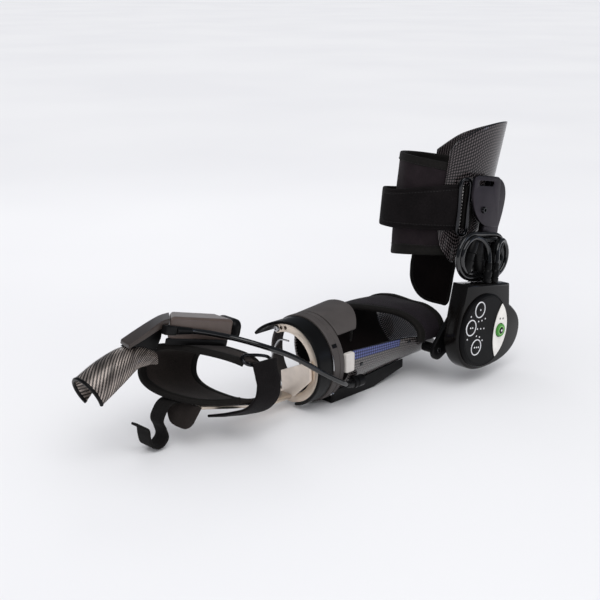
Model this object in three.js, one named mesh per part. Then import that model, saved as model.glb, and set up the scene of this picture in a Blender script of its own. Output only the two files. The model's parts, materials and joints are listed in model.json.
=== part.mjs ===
// Powered arm orthosis for the left arm: forearm trough, driven elbow, upper arm cuff,
// turning wrist ring, padded hand loop and driven finger trough.
// Millimetres, +Z up. The forearm lies along X with the hand at -X, and the motor side is -Y.
import * as THREE from 'three';

// Layout
const ELBOW = { x: 102, z: 54 };
const UPPER_LEAN_DEG = 10;
const WRIST = { x: -78, y: 4, z: 43.2 };
const HAND_RISE_DEG = 15;
const GAP = 0.4;

// Forearm
const SHELL_WALL = 2.5;
const COLLAR = { front: -62, back: -48, outer: 43, inner: 40.4 };
const COVER = { from: 55, to: 140, back: -8, thick: 2.4, flare: 3 };
const RAIL = { front: -47.6, back: 58, near: -22, far: 22, flat: 12, rise: 0.21 };
const FOREARM_STRAP_THICK = 4;
const LINK = { yIn: -52.2, yOut: -56.6, elbowR: 17, footR: 10, footX: 72, footZ: 33 };
const LEAD_DIAMETER = 2.2;

// Wrist and hand
const RING = { front: -80, back: -75, outer: 38.4, inner: 30, from: 63, to: 292, hole: 1.7 };
const VISOR = { inner: 38.8, outer: 41.6, back: -62.4, from: 38, to: 258 };
const LOOP = { y: 2, n: -12, halfWidth: 43, halfHeight: 24, wall: 5, from: 152, to: -140, lift: 8 };
const BOX = { from: 75, to: 149.4, farTo: 127.4, near: 6, far: 34, low: 17.5, high: 37, cap: 12 };
const CABLE_DIAMETER = 5;
const FINGER = { y: 20, wall: 2 };

// Upper arm and motor
const ARM_Y = -9;
const CUFF = { wall: 3.2, low: 64, high: 161 };
const SHELL_OFFSET = { inner: 0.5, outer: 3 };
const UPPER_STRAP = { mid: 117.5, drop: 10, half: 23.5, taper: 4.2, thick: 2.5, from: -21.5, to: -214 };
const HOUSING = { back: -68, front: -86, bevel: 2.5 };
const FACE = { radius: 37.4, back: -86.3, front: -90.5 };
const LABEL = { back: -90.8, front: -91.5, radius: 34.5 };
const BUTTON = { x: 23, z: 0, radius: 6.6, front: -93.6 };
const COIL = { x: 5, y: -69, z: 71.6, halfX: 38, halfZ: 19, thick: 11.5, cable: 5 };

const DEG = Math.PI / 180;
const V = (x, y, z) => new THREE.Vector3(x, y, z);
const lerp = THREE.MathUtils.lerp;
const bump = (value, centre, width) => Math.exp(-(((value - centre) / width) ** 2));

const carbon = new THREE.MeshStandardMaterial({ color: 0x1c1c1e, roughness: 0.25 });
const twill = new THREE.MeshStandardMaterial({ color: 0x5d5a57, roughness: 0.3 });
const blackPlastic = new THREE.MeshStandardMaterial({ color: 0x131315, roughness: 0.35 });
const greyPlastic = new THREE.MeshStandardMaterial({ color: 0x3b3c3f, roughness: 0.6 });
const satinAlloy = new THREE.MeshStandardMaterial({ color: 0x8d99a8, metalness: 0.9, roughness: 0.35 });
const warmAlloy = new THREE.MeshStandardMaterial({ color: 0xb9ad9c, metalness: 0.9, roughness: 0.4 });
const steel = new THREE.MeshStandardMaterial({ color: 0xa6a6a8, metalness: 1, roughness: 0.25 });
const neoprene = new THREE.MeshStandardMaterial({ color: 0x141316, roughness: 0.95 });
const webbing = new THREE.MeshStandardMaterial({ color: 0x0f0f11, roughness: 0.9 });
const rubber = new THREE.MeshStandardMaterial({ color: 0x101010, roughness: 0.7 });
const white = new THREE.MeshStandardMaterial({ color: 0xe6e6e2, roughness: 0.5 });
const green = new THREE.MeshStandardMaterial({ color: 0x3f9a3c, roughness: 0.4 });

const group = new THREE.Group();
group.name = 'powered_arm_orthosis';

// A closed mesh from points and quads, turned the right way out
function solid(points, quads) {
  const index = [];
  for (const [a, b, c, d] of quads) {
    index.push(a, b, c);
    if (d !== undefined) index.push(a, c, d);
  }
  let volume = 0;
  for (let i = 0; i < index.length; i += 3) {
    const [a, b, c] = [points[index[i]], points[index[i + 1]], points[index[i + 2]]];
    volume += a.dot(b.clone().cross(c));
  }
  if (volume < 0) index.reverse();
  const geometry = new THREE.BufferGeometry();
  const flat = points.flatMap((p) => p.toArray());
  geometry.setAttribute('position', new THREE.Float32BufferAttribute(flat, 3));
  geometry.setIndex(index);
  geometry.computeVertexNormals();
  return geometry;
}

// A thick sheet: face(u, v, side) gives the outer face for side 0 and the inner for side 1
function sheet(nu, nv, face, ring = false) {
  const cols = ring ? nv : nv + 1;
  const points = [];
  for (let side = 0; side < 2; side++) {
    for (let i = 0; i <= nu; i++) {
      for (let j = 0; j < cols; j++) points.push(face(i / nu, j / nv, side));
    }
  }
  const id = (side, i, j) => (side * (nu + 1) + i) * cols + (ring ? j % nv : j);
  const quads = [];
  for (let i = 0; i < nu; i++) {
    for (let j = 0; j < nv; j++) {
      quads.push([id(0, i, j), id(0, i + 1, j), id(0, i + 1, j + 1), id(0, i, j + 1)]);
      quads.push([id(1, i, j + 1), id(1, i + 1, j + 1), id(1, i + 1, j), id(1, i, j)]);
    }
  }
  for (let j = 0; j < nv; j++) {
    quads.push([id(0, 0, j + 1), id(1, 0, j + 1), id(1, 0, j), id(0, 0, j)]);
    quads.push([id(0, nu, j), id(1, nu, j), id(1, nu, j + 1), id(0, nu, j + 1)]);
  }
  for (let i = 0; i < nu && !ring; i++) {
    quads.push([id(0, i, 0), id(1, i, 0), id(1, i + 1, 0), id(0, i + 1, 0)]);
    quads.push([id(0, i + 1, nv), id(1, i + 1, nv), id(1, i, nv), id(0, i, nv)]);
  }
  return solid(points, quads);
}

// A round bar along a curve, closed on itself or capped
function tube(curve, steps, radius, sides, closed = false) {
  const frames = curve.computeFrenetFrames(steps, closed);
  const rings = closed ? steps : steps + 1;
  const points = [];
  for (let i = 0; i < rings; i++) {
    const centre = curve.getPointAt(i / steps);
    for (let j = 0; j < sides; j++) {
      const a = (j / sides) * 2 * Math.PI;
      const p = centre.clone().addScaledVector(frames.normals[i], radius * Math.cos(a));
      points.push(p.addScaledVector(frames.binormals[i], radius * Math.sin(a)));
    }
  }
  const id = (i, j) => (i % rings) * sides + (j % sides);
  const quads = [];
  for (let i = 0; i < steps; i++) {
    for (let j = 0; j < sides; j++) quads.push([id(i, j), id(i, j + 1), id(i + 1, j + 1), id(i + 1, j)]);
  }
  for (let j = 1; j < sides - 1 && !closed; j++) {
    quads.push([0, j + 1, j]);
    quads.push([id(steps, 0), id(steps, j), id(steps, j + 1)]);
  }
  return solid(points, quads);
}

// A flat band along a curve: width vector across it, thickness along the second vector
function band(path, steps, across, width, thick) {
  const half = across.clone().normalize().multiplyScalar(width / 2);
  return sheet(steps, 2, (u, v, side) => {
    const tangent = path.getTangentAt(u);
    const normal = tangent.clone().cross(across).normalize();
    const p = path.getPointAt(u).addScaledVector(half, 2 * v - 1);
    return p.addScaledVector(normal, side ? -thick / 2 : thick / 2);
  });
}

const spline = (points, closed = false) => new THREE.CatmullRomCurve3(points, closed, 'centripetal');

// A shape drawn in x and z, made thick from yOut to yIn
function plateXZ(shape, yOut, yIn, bevel = 0, segments = 12) {
  const depth = yIn - yOut - 2 * bevel;
  const geometry = new THREE.ExtrudeGeometry(shape, {
    depth, curveSegments: segments, bevelEnabled: bevel > 0,
    bevelThickness: bevel, bevelSize: bevel, bevelOffset: -bevel, bevelSegments: 2,
  });
  geometry.rotateX(Math.PI / 2);
  geometry.translate(0, yIn - bevel, 0);
  return geometry;
}

// A shape drawn in y and z, made thick from x0 to x1
function plateYZ(shape, x0, x1, segments = 12) {
  const geometry = new THREE.ExtrudeGeometry(shape, {
    depth: x1 - x0, curveSegments: segments, bevelEnabled: false,
  });
  geometry.applyMatrix4(new THREE.Matrix4().makeBasis(V(0, 1, 0), V(0, 0, 1), V(1, 0, 0)));
  geometry.translate(x0, 0, 0);
  return geometry;
}

// The outline round two circles
function twoCircles(x0, z0, r0, x1, z1, r1) {
  const away = Math.atan2(z1 - z0, x1 - x0);
  const lean = Math.acos((r0 - r1) / Math.hypot(x1 - x0, z1 - z0));
  const shape = new THREE.Shape();
  shape.absarc(x0, z0, r0, away + lean, away - lean + 2 * Math.PI, false);
  shape.absarc(x1, z1, r1, away - lean, away + lean, false);
  return shape;
}

function roundedRect(x0, z0, x1, z1, r) {
  const shape = new THREE.Shape();
  shape.absarc(x1 - r, z1 - r, r, 0, 90 * DEG, false);
  shape.absarc(x0 + r, z1 - r, r, 90 * DEG, 180 * DEG, false);
  shape.absarc(x0 + r, z0 + r, r, 180 * DEG, 270 * DEG, false);
  shape.absarc(x1 - r, z0 + r, r, 270 * DEG, 360 * DEG, false);
  return shape;
}

// A round pin along Y
function pinY(x, z, radius, yOut, yIn, sides = 20) {
  const geometry = new THREE.CylinderGeometry(radius, radius, yIn - yOut, sides);
  geometry.translate(x, (yOut + yIn) / 2, z);
  return geometry;
}

function add(name, geometry, material, frame = null) {
  if (frame) geometry.applyMatrix4(frame);
  const mesh = new THREE.Mesh(geometry, material);
  mesh.name = name;
  group.add(mesh);
}

// Value of one named column in a table whose rows are in order of `key`
function column(table, key, at, name) {
  const last = table.length - 1;
  const i = Math.min(last - 1, Math.max(0, table.findIndex((row) => row[key] >= at) - 1));
  const t = (at - table[i][key]) / (table[i + 1][key] - table[i][key]);
  const s = Math.min(1, Math.max(0, t));
  return lerp(table[i][name], table[i + 1][name], s);
}

// Forearm trough: a round gutter whose rims drop towards the elbow, with a wing behind on the far side
const TROUGH = [
  { x: -35.5, y: 2, z: 45, r: 39.5, near: 14, far: 28 },
  { x: 0, y: 2, z: 48, r: 39.5, near: 6, far: 26 },
  { x: 40, y: 1, z: 52, r: 40, near: -4, far: 20 },
  { x: 68, y: 0, z: 54.5, r: 41, near: -16, far: 11 },
  { x: 92, y: 0, z: 56, r: 42, near: -34, far: 0 },
  { x: 110, y: 0, z: 57, r: 42.5, near: -96, far: -6 },
  { x: 134, y: 0, z: 57.5, r: 43, near: -108, far: -34 },
];
const trough = (x, name) => column(TROUGH, 'x', x, name);
add('forearm_shell', sheet(13, 16, (u, v, side) => {
  const x = lerp(TROUGH[0].x, TROUGH[TROUGH.length - 1].x, u);
  const a = lerp(180 - trough(x, 'near'), 360 + trough(x, 'far'), v) * DEG;
  const r = trough(x, 'r') - (side ? SHELL_WALL : 0);
  return V(x, trough(x, 'y') + r * Math.cos(a), trough(x, 'z') + r * Math.sin(a));
}), carbon);

// Rail under the trough: its front stands flat on the ground, the rest follows the trough
add('forearm_rail', sheet(6, 9, (u, v, side) => {
  const x = lerp(RAIL.front, RAIL.back, u);
  const y = lerp(RAIL.near, RAIL.far, v);
  const r = trough(x, 'r') + GAP;
  const dy = y - trough(x, 'y');
  return V(x, y, side ? Math.max(0, RAIL.rise * (x - RAIL.flat)) : trough(x, 'z') - Math.sqrt(r * r - dy * dy));
}), blackPlastic);

// Round collar at the wrist end
function hoop(x0, x1, outer, inner, sides) {
  return sheet(1, sides, (u, v, side) => {
    const a = v * 2 * Math.PI;
    const r = side ? inner : outer;
    return V(lerp(x0, x1, u), WRIST.y + r * Math.cos(a), WRIST.z + r * Math.sin(a));
  }, true);
}
add('wrist_collar', hoop(COLLAR.front, COLLAR.back, COLLAR.outer, COLLAR.inner, 40), greyPlastic);

// Cover on top of the collar, reaching back over the trough with a round near corner
add('collar_cover', sheet(6, 10, (u, v, side) => {
  const a = lerp(COVER.from, COVER.to, v);
  const front = COLLAR.back + GAP;
  const back = COVER.back - 17 * Math.max(0, (a - 95) / 45) ** 2;
  const r = COLLAR.outer + 0.2 + COVER.flare * u - (side ? COVER.thick : 0);
  return V(lerp(front, back, u), WRIST.y + r * Math.cos(a * DEG), WRIST.z + r * Math.sin(a * DEG));
}), greyPlastic);

const block = new THREE.BoxGeometry(11.6, 5, 19);
block.translate(-41.8, -38, 45);
add('slide_block', block, white);

// Padded strap over the trough, from the near rim to the far rim
const OVER = [
  { dx: 53, dy: -46.6, dz: 43, px: 86, py: -47.4, pz: 42 },
  { dx: 56, dy: -45, dz: 51, px: 92, py: -46, pz: 50 },
  { dx: 58, dy: -35, dz: 60, px: 98, py: -37, pz: 58 },
  { dx: 56, dy: -14, dz: 67, px: 102, py: -16, pz: 65 },
  { dx: 44, dy: 8, dz: 70, px: 101, py: 6, pz: 66 },
  { dx: 22, dy: 30, dz: 72, px: 95, py: 31, pz: 68 },
  { dx: 4, dy: 43, dz: 68, px: 86, py: 45.5, pz: 64 },
  { dx: -6, dy: 47.6, dz: 52, px: 79, py: 48.4, pz: 47 },
  { dx: -8, dy: 47, dz: 38, px: 74, py: 47.6, pz: 35 },
];
const overDistal = spline(OVER.map((row) => V(row.dx, row.dy, row.dz)));
const overProximal = spline(OVER.map((row) => V(row.px, row.py, row.pz)));
add('forearm_strap', sheet(4, 18, (u, v, side) => {
  const p = overDistal.getPoint(v).lerp(overProximal.getPoint(v), u);
  if (!side) return p;
  const inward = V(0, -p.y, 46 - p.z).normalize();
  return p.addScaledVector(inward, FOREARM_STRAP_THICK);
}), neoprene);

// Link from the trough to the elbow motor
const linkShape = twoCircles(LINK.footX, LINK.footZ, LINK.footR, ELBOW.x, ELBOW.z, LINK.elbowR);
add('elbow_link', plateXZ(linkShape, LINK.yOut, LINK.yIn), blackPlastic);
add('link_post', pinY(LINK.footX, LINK.footZ, 5, LINK.yIn + GAP, -37.6), blackPlastic);

// Two thin leads from the collar down into the trough
const leadPath = (endX, endY, endZ, dy) => spline([
  V(-47, dy, 82.3 + 0.06 * dy), V(-20, 1 + dy, 80), V(8, 9 + dy, 67), V(endX - 6, endY - 6, endZ + 9), V(endX, endY, endZ),
]);
add('sensor_lead_a', tube(leadPath(36, 30.4, 31, -2), 12, LEAD_DIAMETER / 2, 8), rubber);
add('sensor_lead_b', tube(leadPath(42, 34.2, 40, 5), 12, LEAD_DIAMETER / 2, 8), rubber);

// Wrist: open ring, visor, slanted plate
const cosd = (a) => Math.cos(a * DEG);
const sind = (a) => Math.sin(a * DEG);
const ringMid = (RING.outer + RING.inner) / 2;
const ringEnd = (RING.outer - RING.inner) / 2;
const onRing = (a) => [WRIST.y + ringMid * cosd(a), WRIST.z + ringMid * sind(a)];
const ringShape = new THREE.Shape();
for (let k = 0; k < 3; k++) {
  const a = lerp(RING.from, RING.to, k / 3);
  ringShape.absarc(WRIST.y, WRIST.z, RING.outer, a * DEG, lerp(RING.from, RING.to, (k + 1) / 3) * DEG, false);
}
ringShape.absarc(...onRing(RING.to), ringEnd, RING.to * DEG, (RING.to + 180) * DEG, false);
for (let k = 0; k < 3; k++) {
  const a = lerp(RING.to, RING.from, k / 3);
  ringShape.absarc(WRIST.y, WRIST.z, RING.inner, a * DEG, lerp(RING.to, RING.from, (k + 1) / 3) * DEG, true);
}
ringShape.absarc(...onRing(RING.from), ringEnd, (RING.from + 180) * DEG, (RING.from + 360) * DEG, false);
for (const at of [RING.from, RING.from + 10, RING.from + 20, RING.to, RING.to - 11]) {
  const hole = new THREE.Path();
  hole.absarc(...onRing(at), RING.hole, 0, 2 * Math.PI, true);
  ringShape.holes.push(hole);
}
add('wrist_ring', plateYZ(ringShape, RING.front, RING.back, 9), warmAlloy);

add('wrist_visor', sheet(24, 1, (u, v, side) => {
  const a = lerp(VISOR.from, VISOR.to, u);
  const front = -80.5 - 13 * bump(a, VISOR.from, 42);
  const r = side ? VISOR.inner : VISOR.outer;
  return V(lerp(front, VISOR.back, v), WRIST.y + r * cosd(a), WRIST.z + r * sind(a));
}), blackPlastic);

const plateShape = new THREE.Shape();
plateShape.moveTo(11, 35);
plateShape.lineTo(-27, 53);
plateShape.lineTo(-28, 34);
plateShape.lineTo(-6, 13);
plateShape.lineTo(9, 8);
add('wrist_plate', plateYZ(plateShape, RING.front - 3.4, RING.front - GAP), warmAlloy);

// Hand frame: p along the hand to the fingers, y across it, n out of its back
const handFrame = (p, y, n) => V(
  WRIST.x - p * cosd(HAND_RISE_DEG) + n * sind(HAND_RISE_DEG),
  WRIST.y + y,
  WRIST.z + p * sind(HAND_RISE_DEG) + n * cosd(HAND_RISE_DEG),
);
const acrossHand = V(0, 1, 0);
const alongHand = V(-cosd(HAND_RISE_DEG), 0, sind(HAND_RISE_DEG));
const outOfHand = V(sind(HAND_RISE_DEG), 0, cosd(HAND_RISE_DEG));

const palmPath = spline([
  handFrame(-2.4, 0, -31.5), handFrame(12, 0, -35), handFrame(30, -1, -37.6), handFrame(66, -2, -38),
  handFrame(98, -2, -38), handFrame(112, -2, -38),
]);
add('palm_bar', band(palmPath, 10, acrossHand, 15, 3), warmAlloy);

// Padded loop round the palm, open at the outer side
const PAD = [
  { at: -140, front: 90, back: 60 },
  { at: -90, front: 128, back: 70 },
  { at: -45, front: 142, back: 78 },
  { at: 0, front: 143, back: 80 },
  { at: 45, front: 138, back: 80 },
  { at: 90, front: 124, back: 78 },
  { at: 152, front: 98, back: 78 },
];
const soft = (value) => Math.sign(value) * Math.abs(value) ** 0.8;
add('palm_pad', sheet(4, 26, (u, v, side) => {
  const a = lerp(LOOP.from, LOOP.to, v);
  const p = lerp(column(PAD, 'at', a, 'front'), column(PAD, 'at', a, 'back'), u);
  const w = LOOP.halfWidth - (side ? LOOP.wall : 0);
  const h = LOOP.halfHeight - (side ? LOOP.wall : 0);
  const lift = LOOP.lift * Math.max(0, (a - 60) / (LOOP.from - 60)) ** 2;
  return handFrame(p, LOOP.y + w * soft(cosd(a)), LOOP.n + lift + h * soft(sind(a)));
}), neoprene);

// Strap that closes the loop on its outer side, and its wire ring
const strapPath = spline([
  handFrame(80, -44.8, 12.5), handFrame(79, -45.1, 8), handFrame(77, -47, 1),
  handFrame(74, -48.5, -7), handFrame(71, -46.5, -20), handFrame(71, -38, -32), handFrame(73, -18, -42.5),
  handFrame(78, 4, -51),
]);
add('hand_strap', band(strapPath, 14, alongHand, 28, 2.4), webbing);
const handRing = spline([
  handFrame(65, -36, 12.1), handFrame(68, -34, 13.6), handFrame(96, -34, 13.6), handFrame(99, -36, 12.1),
  handFrame(99, -39.5, 9.4), handFrame(96, -41.5, 7.9), handFrame(68, -41.5, 7.9), handFrame(65, -39.5, 9.4),
], true);
add('hand_strap_ring', tube(handRing, 28, 1.5, 6, true), steel);

add('pad_tongue', sheet(2, 8, (u, v, side) => {
  const n = lerp(-36.4, -59 + 10 * (2 * v - 1) ** 4, u);
  return handFrame(116 + 6 * u + (side ? 0 : 3), lerp(-17, 19, v), n);
}), neoprene);

const thumbPath = spline([
  handFrame(123.5, 13, -37.6), handFrame(129, 13, -37.8), handFrame(134.5, 13, -41), handFrame(138, 13, -48),
  handFrame(139, 13, -55), handFrame(134, 13, -62), handFrame(130, 13, -70), handFrame(135, 13, -77.5),
  handFrame(145, 13, -77), handFrame(150, 13, -69), handFrame(153, 13, -62), handFrame(159, 13, -60),
]);
add('thumb_strap', band(thumbPath, 24, acrossHand, 18, 2.2), webbing);

// Finger motor box on the back of the hand
const handBasis = new THREE.Matrix4().makeBasis(V(0, -1, 0), outOfHand, alongHand);
const boxFrame = handBasis.clone().setPosition(handFrame(0, 0, 0));
function handBar(from, to, r, bevel) {
  const shape = roundedRect(-BOX.far, BOX.low, -BOX.near, BOX.high, r);
  const geometry = new THREE.ExtrudeGeometry(shape, {
    depth: to - from - 2 * bevel, curveSegments: 3, bevelEnabled: true,
    bevelThickness: bevel, bevelSize: bevel, bevelOffset: -bevel, bevelSegments: 2,
  });
  geometry.translate(0, 0, from + bevel);
  return geometry;
}
// The box ends obliquely, shorter on the far side where the lever reaches back
add('hand_motor_box', sheet(2, 8, (u, v, side) => {
  const p = lerp(BOX.from, lerp(BOX.to, BOX.farTo, v), u);
  const round = 3 * (2 * v - 1) ** 8;
  return handFrame(p, lerp(BOX.near, BOX.far, v), side ? BOX.low + round : BOX.high - round);
}), twill);
add('box_end_cap', handBar(BOX.from - GAP - BOX.cap, BOX.from - GAP, 7, 5), blackPlastic, boxFrame);
const plug = new THREE.BoxGeometry(7, 8, 12);
plug.translate(-2, 26.5, 152);
add('cable_plug', plug, blackPlastic, boxFrame);

// Finger lever and trough, turning on the box end
// The lever is a wide plate that slopes from the box down to the trough's ridge
const LEVER = [
  { at: 0, nearP: 151.2, nearN: 35.5, farP: 129.2, farN: 36, halfWidth: 14.2, thick: 6 },
  { at: 0.2, nearP: 158, nearN: 33, farP: 140, farN: 32.5, halfWidth: 14, thick: 7 },
  { at: 0.6, nearP: 171, nearN: 21.5, farP: 160.5, farN: 22.5, halfWidth: 11.5, thick: 5.5 },
  { at: 1, nearP: 184, nearN: 10.7, farP: 180, farN: 11.7, halfWidth: 9, thick: 4 },
];
const lever = (u, name) => column(LEVER, 'at', u, name);
add('finger_lever', sheet(5, 2, (u, v, side) => {
  const y = FINGER.y + lever(u, 'halfWidth') * (2 * v - 1);
  const p = lerp(lever(u, 'nearP'), lever(u, 'farP'), v);
  const n = lerp(lever(u, 'nearN'), lever(u, 'farN'), v);
  return handFrame(p, y, side ? n - lever(u, 'thick') : n);
}), satinAlloy);

const RIDGE = [
  { p: 151, n: 5, r: 13, near: 76, far: 80 },
  { p: 166, n: 8, r: 14, near: 90, far: 85 },
  { p: 183, n: 6.2, r: 15.5, near: 94, far: 88 },
  { p: 204, n: -5.5, r: 16.5, near: 112, far: 92 },
  { p: 222, n: -20.5, r: 17.5, near: 110, far: 95 },
];
const ridge = spline(RIDGE.map((row) => V(row.p, row.n, 0)));
const fingerSize = (u, name) => {
  const i = Math.min(RIDGE.length - 2, Math.floor(u * (RIDGE.length - 1)));
  return lerp(RIDGE[i][name], RIDGE[i + 1][name], u * (RIDGE.length - 1) - i);
};
add('finger_shell', sheet(10, 12, (u, v, side) => {
  const top = ridge.getPoint(u);
  const t = ridge.getTangent(u);
  const r = fingerSize(u, 'r');
  const a = lerp(-fingerSize(u, 'near'), fingerSize(u, 'far'), v) * DEG;
  const out = (side ? r - FINGER.wall : r) * Math.cos(a) - r;
  const y = FINGER.y + (side ? r - FINGER.wall : r) * Math.sin(a);
  return handFrame(top.x - t.y * out, y, top.y + t.x * out);
}), twill);

// Cable from the finger motor to the forearm
const socket = new THREE.CylinderGeometry(5.6, 5.6, 13, 16);
socket.rotateZ(Math.PI / 2);
socket.translate(-28.5, -36.9, 22);
add('cable_socket', socket, blackPlastic);
const cablePath = spline([
  handFrame(145.6, 2, 26.5), handFrame(118, 1.6, 26), handFrame(90, -8, 24),
  V(-142, -21, 83), V(-113, -34, 68), V(-82, -43.5, 46), V(-60, -45, 32), V(-46, -41, 24.5), V(-36, -37.2, 22),
]);
add('hand_cable', tube(cablePath, 26, CABLE_DIAMETER / 2, 8), rubber);

// Upper arm frame: origin on the elbow axis, leaning back
const armFrame = new THREE.Matrix4().makeRotationY(UPPER_LEAN_DEG * DEG);
armFrame.setPosition(ELBOW.x, 0, ELBOW.z);
const armX = (z) => 48.5 + 0.075 * (z - 65);
const armY = (z) => 38 + 0.055 * (z - 65);
// Point round the upper arm: 0 is the motor side, +90 behind, -90 in front
const round = (a, z, off) => V(
  3 + 0.03 * (z - 65) + (armX(z) + off) * sind(a), ARM_Y - (armY(z) + off) * cosd(a), z,
);

add('upper_arm_cuff', sheet(2, 32, (u, v, side) => {
  const a = 360 * v;
  const low = CUFF.low + 5 * cosd(a);
  const high = CUFF.high + 3 * sind(a - 90);
  return round(a, lerp(low, high, u), side ? -CUFF.wall : 0);
}, true), neoprene, armFrame);

const SIDE = [
  { at: -45, low: 92, high: 170 },
  { at: -40, low: 78, high: 179 },
  { at: -30, low: 68, high: 186.5 },
  { at: -17, low: 62.5, high: 195 },
  { at: -3, low: 84, high: 200.5 },
  { at: 11, low: 92, high: 204 },
  { at: 41, low: 104, high: 206.5 },
  { at: 70, low: 112, high: 205 },
  { at: 96, low: 114, high: 199 },
  { at: 113, low: 115, high: 193 },
  { at: 126, low: 116, high: 186.5 },
  { at: 148, low: 118, high: 169 },
];
add('upper_arm_shell', sheet(20, 4, (u, v, side) => {
  const a = lerp(SIDE[0].at, SIDE[SIDE.length - 1].at, u);
  const z = lerp(column(SIDE, 'at', a, 'low'), column(SIDE, 'at', a, 'high'), v);
  return round(a, z, side ? SHELL_OFFSET.inner : SHELL_OFFSET.outer);
}), carbon, armFrame);

// The strap sinks and narrows from its ring end to the front, where it stands off the cuff
const strapLean = (z) => -0.1 * (z - UPPER_STRAP.mid);
add('upper_arm_strap', sheet(28, 2, (u, v, side) => {
  const along = lerp(UPPER_STRAP.from, UPPER_STRAP.to, u);
  const t = Math.max(0, Math.min(1, (along + 105) / 80));
  const half = UPPER_STRAP.half - UPPER_STRAP.taper * (1 - t);
  const z = UPPER_STRAP.mid - UPPER_STRAP.drop * (1 - t) + half * (2 * v - 1);
  const a = along + strapLean(z) * (1 - u);
  const off = 6.4 + 9 * bump(a, -126, 32);
  return round(a, z, side ? off - UPPER_STRAP.thick : off);
}), webbing, armFrame);

const ringAt = (a, z) => round(a + strapLean(z), z, 8.9);
const strapRing = spline([
  ringAt(-27, 142), ringAt(-25, 145), ringAt(-19, 145), ringAt(-17, 142), ringAt(-17, 118),
  ringAt(-17, 94), ringAt(-19, 91), ringAt(-25, 91), ringAt(-27, 94), ringAt(-27, 118),
], true);
add('strap_ring', tube(strapRing, 32, 2, 6, true), steel, armFrame);
add('strap_anchor', sheet(3, 1, (u, v, side) => {
  const z = lerp(97, 139, v);
  return round(lerp(-20.2, -6, u) + strapLean(z), z, side ? 3.5 : 6.4);
}), webbing, armFrame);

add('cuff_flap', sheet(8, 3, (u, v, side) => {
  const a = lerp(90, 166, u);
  const z = lerp(8 + 24 * u ** 4, 84, v);
  return round(a, z, side ? -6.3 : -3.6);
}), neoprene, armFrame);

// Bracket, upright and screw
const bracketShape = new THREE.Shape();
bracketShape.moveTo(12, 100.5);
bracketShape.bezierCurveTo(2, 102, -16, 112, -18.8, 134);
bracketShape.lineTo(-19.5, 144);
bracketShape.quadraticCurveTo(-19.8, 151, -13, 151);
bracketShape.lineTo(18, 151);
bracketShape.quadraticCurveTo(24, 151, 25, 145);
bracketShape.lineTo(31, 100.5);
const slot = new THREE.Path();
slot.absarc(-9, 143.8, 2.4, 90 * DEG, 270 * DEG, false);
slot.absarc(11.5, 143.8, 2.4, 270 * DEG, 450 * DEG, false);
bracketShape.holes.push(slot);
add('upper_bracket', plateXZ(bracketShape, -64.6, -61.4, 0, 6), satinAlloy, armFrame);
// The upright widens into a round head behind the bracket
const uprightShape = new THREE.Shape();
uprightShape.moveTo(12, 47);
uprightShape.lineTo(38, 47);
uprightShape.lineTo(38, 100);
uprightShape.bezierCurveTo(40, 108, 42.5, 118, 42.5, 128);
uprightShape.bezierCurveTo(42.5, 142, 34, 150, 22, 150);
uprightShape.lineTo(12, 150);
add('upright_bar', plateXZ(uprightShape, -61, -54.6, 0, 6), satinAlloy, armFrame);
add('bracket_screw', pinY(2.3, 117.3, 3.6, -67.2, -65, 16), steel, armFrame);

// Elbow motor: flat housing with a straight top and a round lobe behind, and its back cover
const housingShape = new THREE.Shape();
housingShape.moveTo(-37, 46.5);
housingShape.lineTo(37, 46.5);
housingShape.lineTo(42.6, 25);
housingShape.bezierCurveTo(56, 18, 67, 12, 67, -3);
housingShape.bezierCurveTo(67, -22, 48, -33, 28, -37);
housingShape.bezierCurveTo(18, -39.5, 8, -40.8, 0, -40.8);
housingShape.bezierCurveTo(-22, -40.8, -39, -24, -39, -4);
housingShape.lineTo(-39, 18);
add('motor_housing', plateXZ(housingShape, HOUSING.front, HOUSING.back, HOUSING.bevel, 9), blackPlastic, armFrame);
const backShape = new THREE.Shape();
backShape.moveTo(6, 46.6);
backShape.lineTo(42, 46.6);
backShape.bezierCurveTo(52, 30, 54, 14, 54, 2);
backShape.bezierCurveTo(54, -20, 38, -34, 18, -34);
backShape.bezierCurveTo(-4, -34, -18, -18, -18, 0);
backShape.bezierCurveTo(-18, 18, -6, 32, 6, 46.6);
add('motor_back', plateXZ(backShape, HOUSING.back + GAP, -57, 0, 8), blackPlastic, armFrame);
const faceDepth = FACE.back - FACE.front;
const face = new THREE.CylinderGeometry(FACE.radius, FACE.radius - 1.4, faceDepth, 48);
face.translate(0, (FACE.back + FACE.front) / 2, 0);
add('keypad_face', face, greyPlastic, armFrame);
const labelShape = new THREE.Shape();
labelShape.absarc(0, 0, LABEL.radius, -52 * DEG, 52 * DEG, false);
labelShape.absarc(62, 0, 49.4, 146.6 * DEG, 213.4 * DEG, false);
const labelHole = new THREE.Path();
labelHole.absarc(BUTTON.x, BUTTON.z, BUTTON.radius + 0.6, 0, 2 * Math.PI, true);
labelShape.holes.push(labelHole);
add('keypad_label', plateXZ(labelShape, LABEL.front, LABEL.back, 0, 10), white, armFrame);
add('power_button', pinY(BUTTON.x, BUTTON.z, BUTTON.radius, BUTTON.front, LABEL.back, 24), green, armFrame);

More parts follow.
